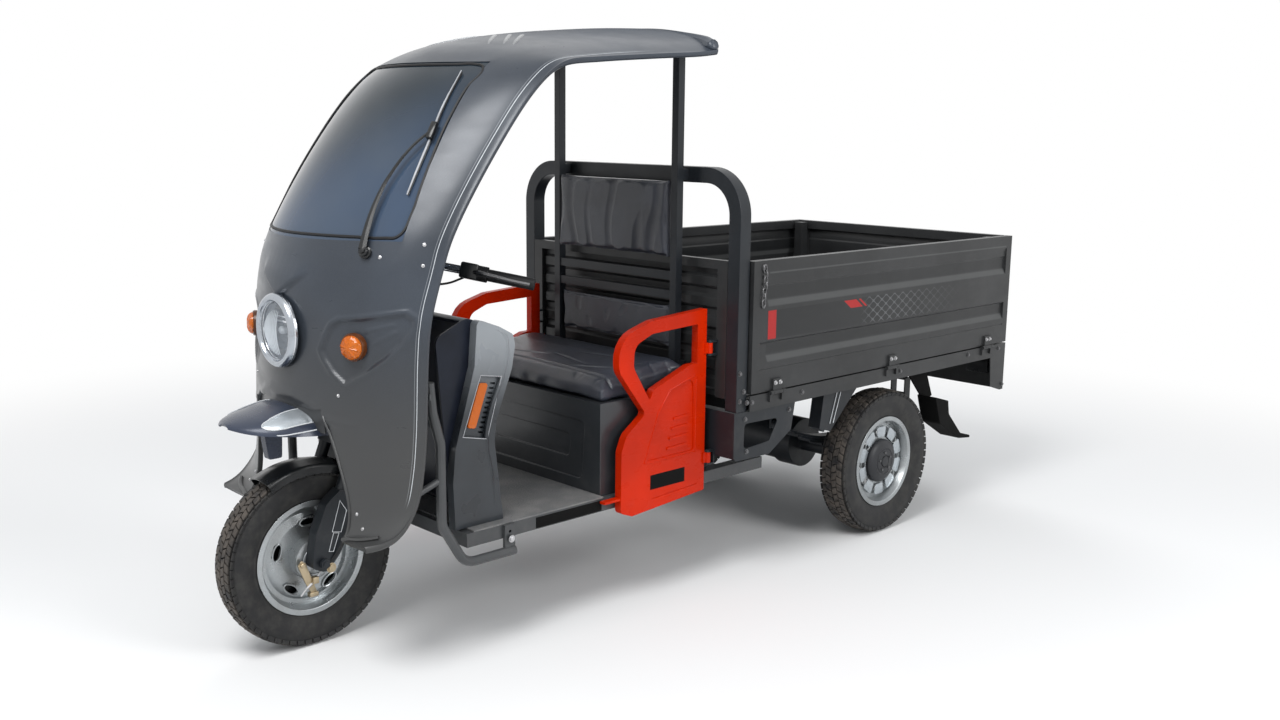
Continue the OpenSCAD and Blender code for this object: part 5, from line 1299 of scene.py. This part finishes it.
makeHeadlamp()
makeSignals()
makeWiper()
makeFixings()
makeTrimLines()
makeSteeringBits()
makeWheelBits()
makeLatches()
makeTailBits()
print("lamps, wiper, fixings and steering pieces are on")


# the shell's flare round the beak, and the beak's bright side panels

flare = {"half": 0.176, "top": 0.722, "y": -1.3495, "thick": 0.006}
beakSide = {
    "rows": 6, "columns": 12,
    "upper": [(0.098, -1.462, 0.680), (0.088, -1.440, 0.690), (0.082, -1.408, 0.699), (0.080, -1.371, 0.704),
              (0.078, -1.332, 0.706)],
    "lower": [(0.104, -1.458, 0.672), (0.116, -1.446, 0.668), (0.129, -1.424, 0.669), (0.139, -1.379, 0.675),
              (0.141, -1.334, 0.679)],
    "skirt": [(0.118, -1.446, 0.657), (0.136, -1.428, 0.654), (0.149, -1.387, 0.656), (0.155, -1.332, 0.659)],
}


def makeFlare():  # closes the arch's top down to the beak's crown, bent with the shell
    bpy.ops.object.select_all(action="DESELECT")
    bpy.ops.mesh.primitive_grid_add(x_subdivisions=28, y_subdivisions=5, size=1)
    web = bpy.context.object
    for vertex in web.data.vertices:
        x, v = vertex.co.x * 2 * flare["half"], vertex.co.y + 0.5
        spot, _, _, _ = beakTree.ray_cast(Vector((x, flare["y"], 1.0)), Vector((0, 0, -1)))
        low = spot.z - 0.004 if spot else 0.650
        vertex.co = (x, flare["y"] + 0.154 * (abs(x) / 0.43) ** 1.8, low + (flare["top"] - low) * v)
    apply(web, "SOLIDIFY", thickness=flare["thick"], offset=0)
    settle(web, "shellWeb", "chassis", "shell_paint", smooth=60)


def onBeak(x, y, z, out):  # the beak's nearest point, lifted off it
    spot, normal, _, _ = beakTree.find_nearest(Vector((x, y, z)))
    return spot + normal * out


def makeBeakSides():
    panels, rims = [], []
    rows, columns = beakSide["rows"], beakSide["columns"]
    upper, lower = ([Vector(onSide(beakSide[key], u * 4 / columns)) for u in range(columns + 1)]
                    for key in ("upper", "lower"))
    for side in (1, -1):
        bpy.ops.object.select_all(action="DESELECT")
        bpy.ops.mesh.primitive_grid_add(x_subdivisions=columns, y_subdivisions=rows, size=1)
        panel = bpy.context.object
        for vertex in panel.data.vertices:
            u, v = round((vertex.co.x + 0.5) * columns), vertex.co.y + 0.5
            at = upper[u].lerp(lower[u], v)
            vertex.co = onBeak(side * at.x, at.y, at.z, 0.0012 + 0.0010 * math.sin(math.pi * v))
        apply(panel, "SUBSURF", levels=1, render_levels=1)
        apply(panel, "SOLIDIFY", thickness=0.0015, offset=0)
        panels.append(panel)
        for line in (beakSide["upper"][::-1] + beakSide["lower"], beakSide["skirt"]):
            rims.append(strand([onBeak(side * x, y, z, 0.0012) for x, y, z in line], 0.0018))
    settle(joined(panels), "beakPanels", "chassis", "shell_paint", material=silverPaint, smooth=60)
    settle(joined(rims), "beakRims", "chassis", "chrome_trim", material=lineWhite)


# moulded edges and plain labels on the guards, the console's side trims, and lines and strips on the body

trims = {
    "guardFace": 0.4305,
    "guardEdge": [(-0.152, 0.696), (-0.262, 0.662), (-0.312, 0.600), (-0.373, 0.443), (-0.146, 0.445), (-0.146, 0.690)],
    "label": ((-0.345, 0.355), (-0.192, 0.402)), "labelAt": 0.4307, "labelHalf": 0.0006,
    "face": 0.365,
    "bead": [(-0.892, 0.918), (-0.846, 0.889), (-0.838, 0.862), (-0.850, 0.795), (-0.906, 0.655), (-0.914, 0.592),
             (-0.898, 0.50), (-0.888, 0.370)],
    "recess": [(-0.9425, 0.788), (-0.8705, 0.776), (-0.9225, 0.604), (-1.0055, 0.622)],
    "splashAt": 0.5028, "splash": [((0.500, 0.566), (0.463, 0.452)), ((0.522, 0.566), (0.482, 0.452))],
    "strip": ((-0.775, 0.318), (-0.520, 0.350)), "stripAt": 0.3985, "stripHalf": 0.0015,
}


def flatBlock(x, half, corners, bevel, segments=2):  # a thin block that faces sideways
    (y0, z0), (y1, z1) = corners
    return block((x - half, y0, z0), (x + half, y1, z1), bevel, segments)


def makeTrimBits():
    beads, rims, lines, strips = [], [], [], []
    for side, guard in ((1, "left_guard"), (-1, "right_guard")):
        path = [(side * (trims["face"] - 0.0035), y - 0.009, z) for y, z in trims["bead"]]
        beads.append(strand(path, 0.0065, sizes=[0.5] + [1] * 6 + [0.4]))
        path = [(side * trims["face"], y, z) for y, z in trims["recess"]]
        rims.append(strand(path, 0.0017, closed=True, straight=True))
        path = [(side * trims["guardFace"], y, z) for y, z in trims["guardEdge"]]
        settle(strand(path, 0.0024, straight=True), guard + "Edge", guard, "guard_paint")
        label = flatBlock(side * trims["labelAt"], trims["labelHalf"], trims["label"], 0.0004, 1)
        settle(label, guard + "Label", guard, "black_plastic", material=flapRubber)
        lines += [strand([(side * trims["splashAt"], y, z) for y, z in line], 0.0016, straight=True)
                  for line in trims["splash"]]
        strips.append(flatBlock(side * trims["stripAt"], trims["stripHalf"], trims["strip"], 0.0008))
    settle(joined(beads), "trimBeads", "chassis", "trim_plastic")
    settle(joined(rims), "recessRims", "chassis", "chrome_trim", material=silverPlastic)
    settle(joined(lines), "splashLines", "chassis", "frame_paint", material=lineWhite)
    settle(joined(strips), "sillStrips", "chassis", "black_plastic", material=flapRubber)


beakTree = treeOf(beak)
makeFlare()
makeBeakSides()
makeTrimBits()
print("flare, beak panels and trim edges are on")
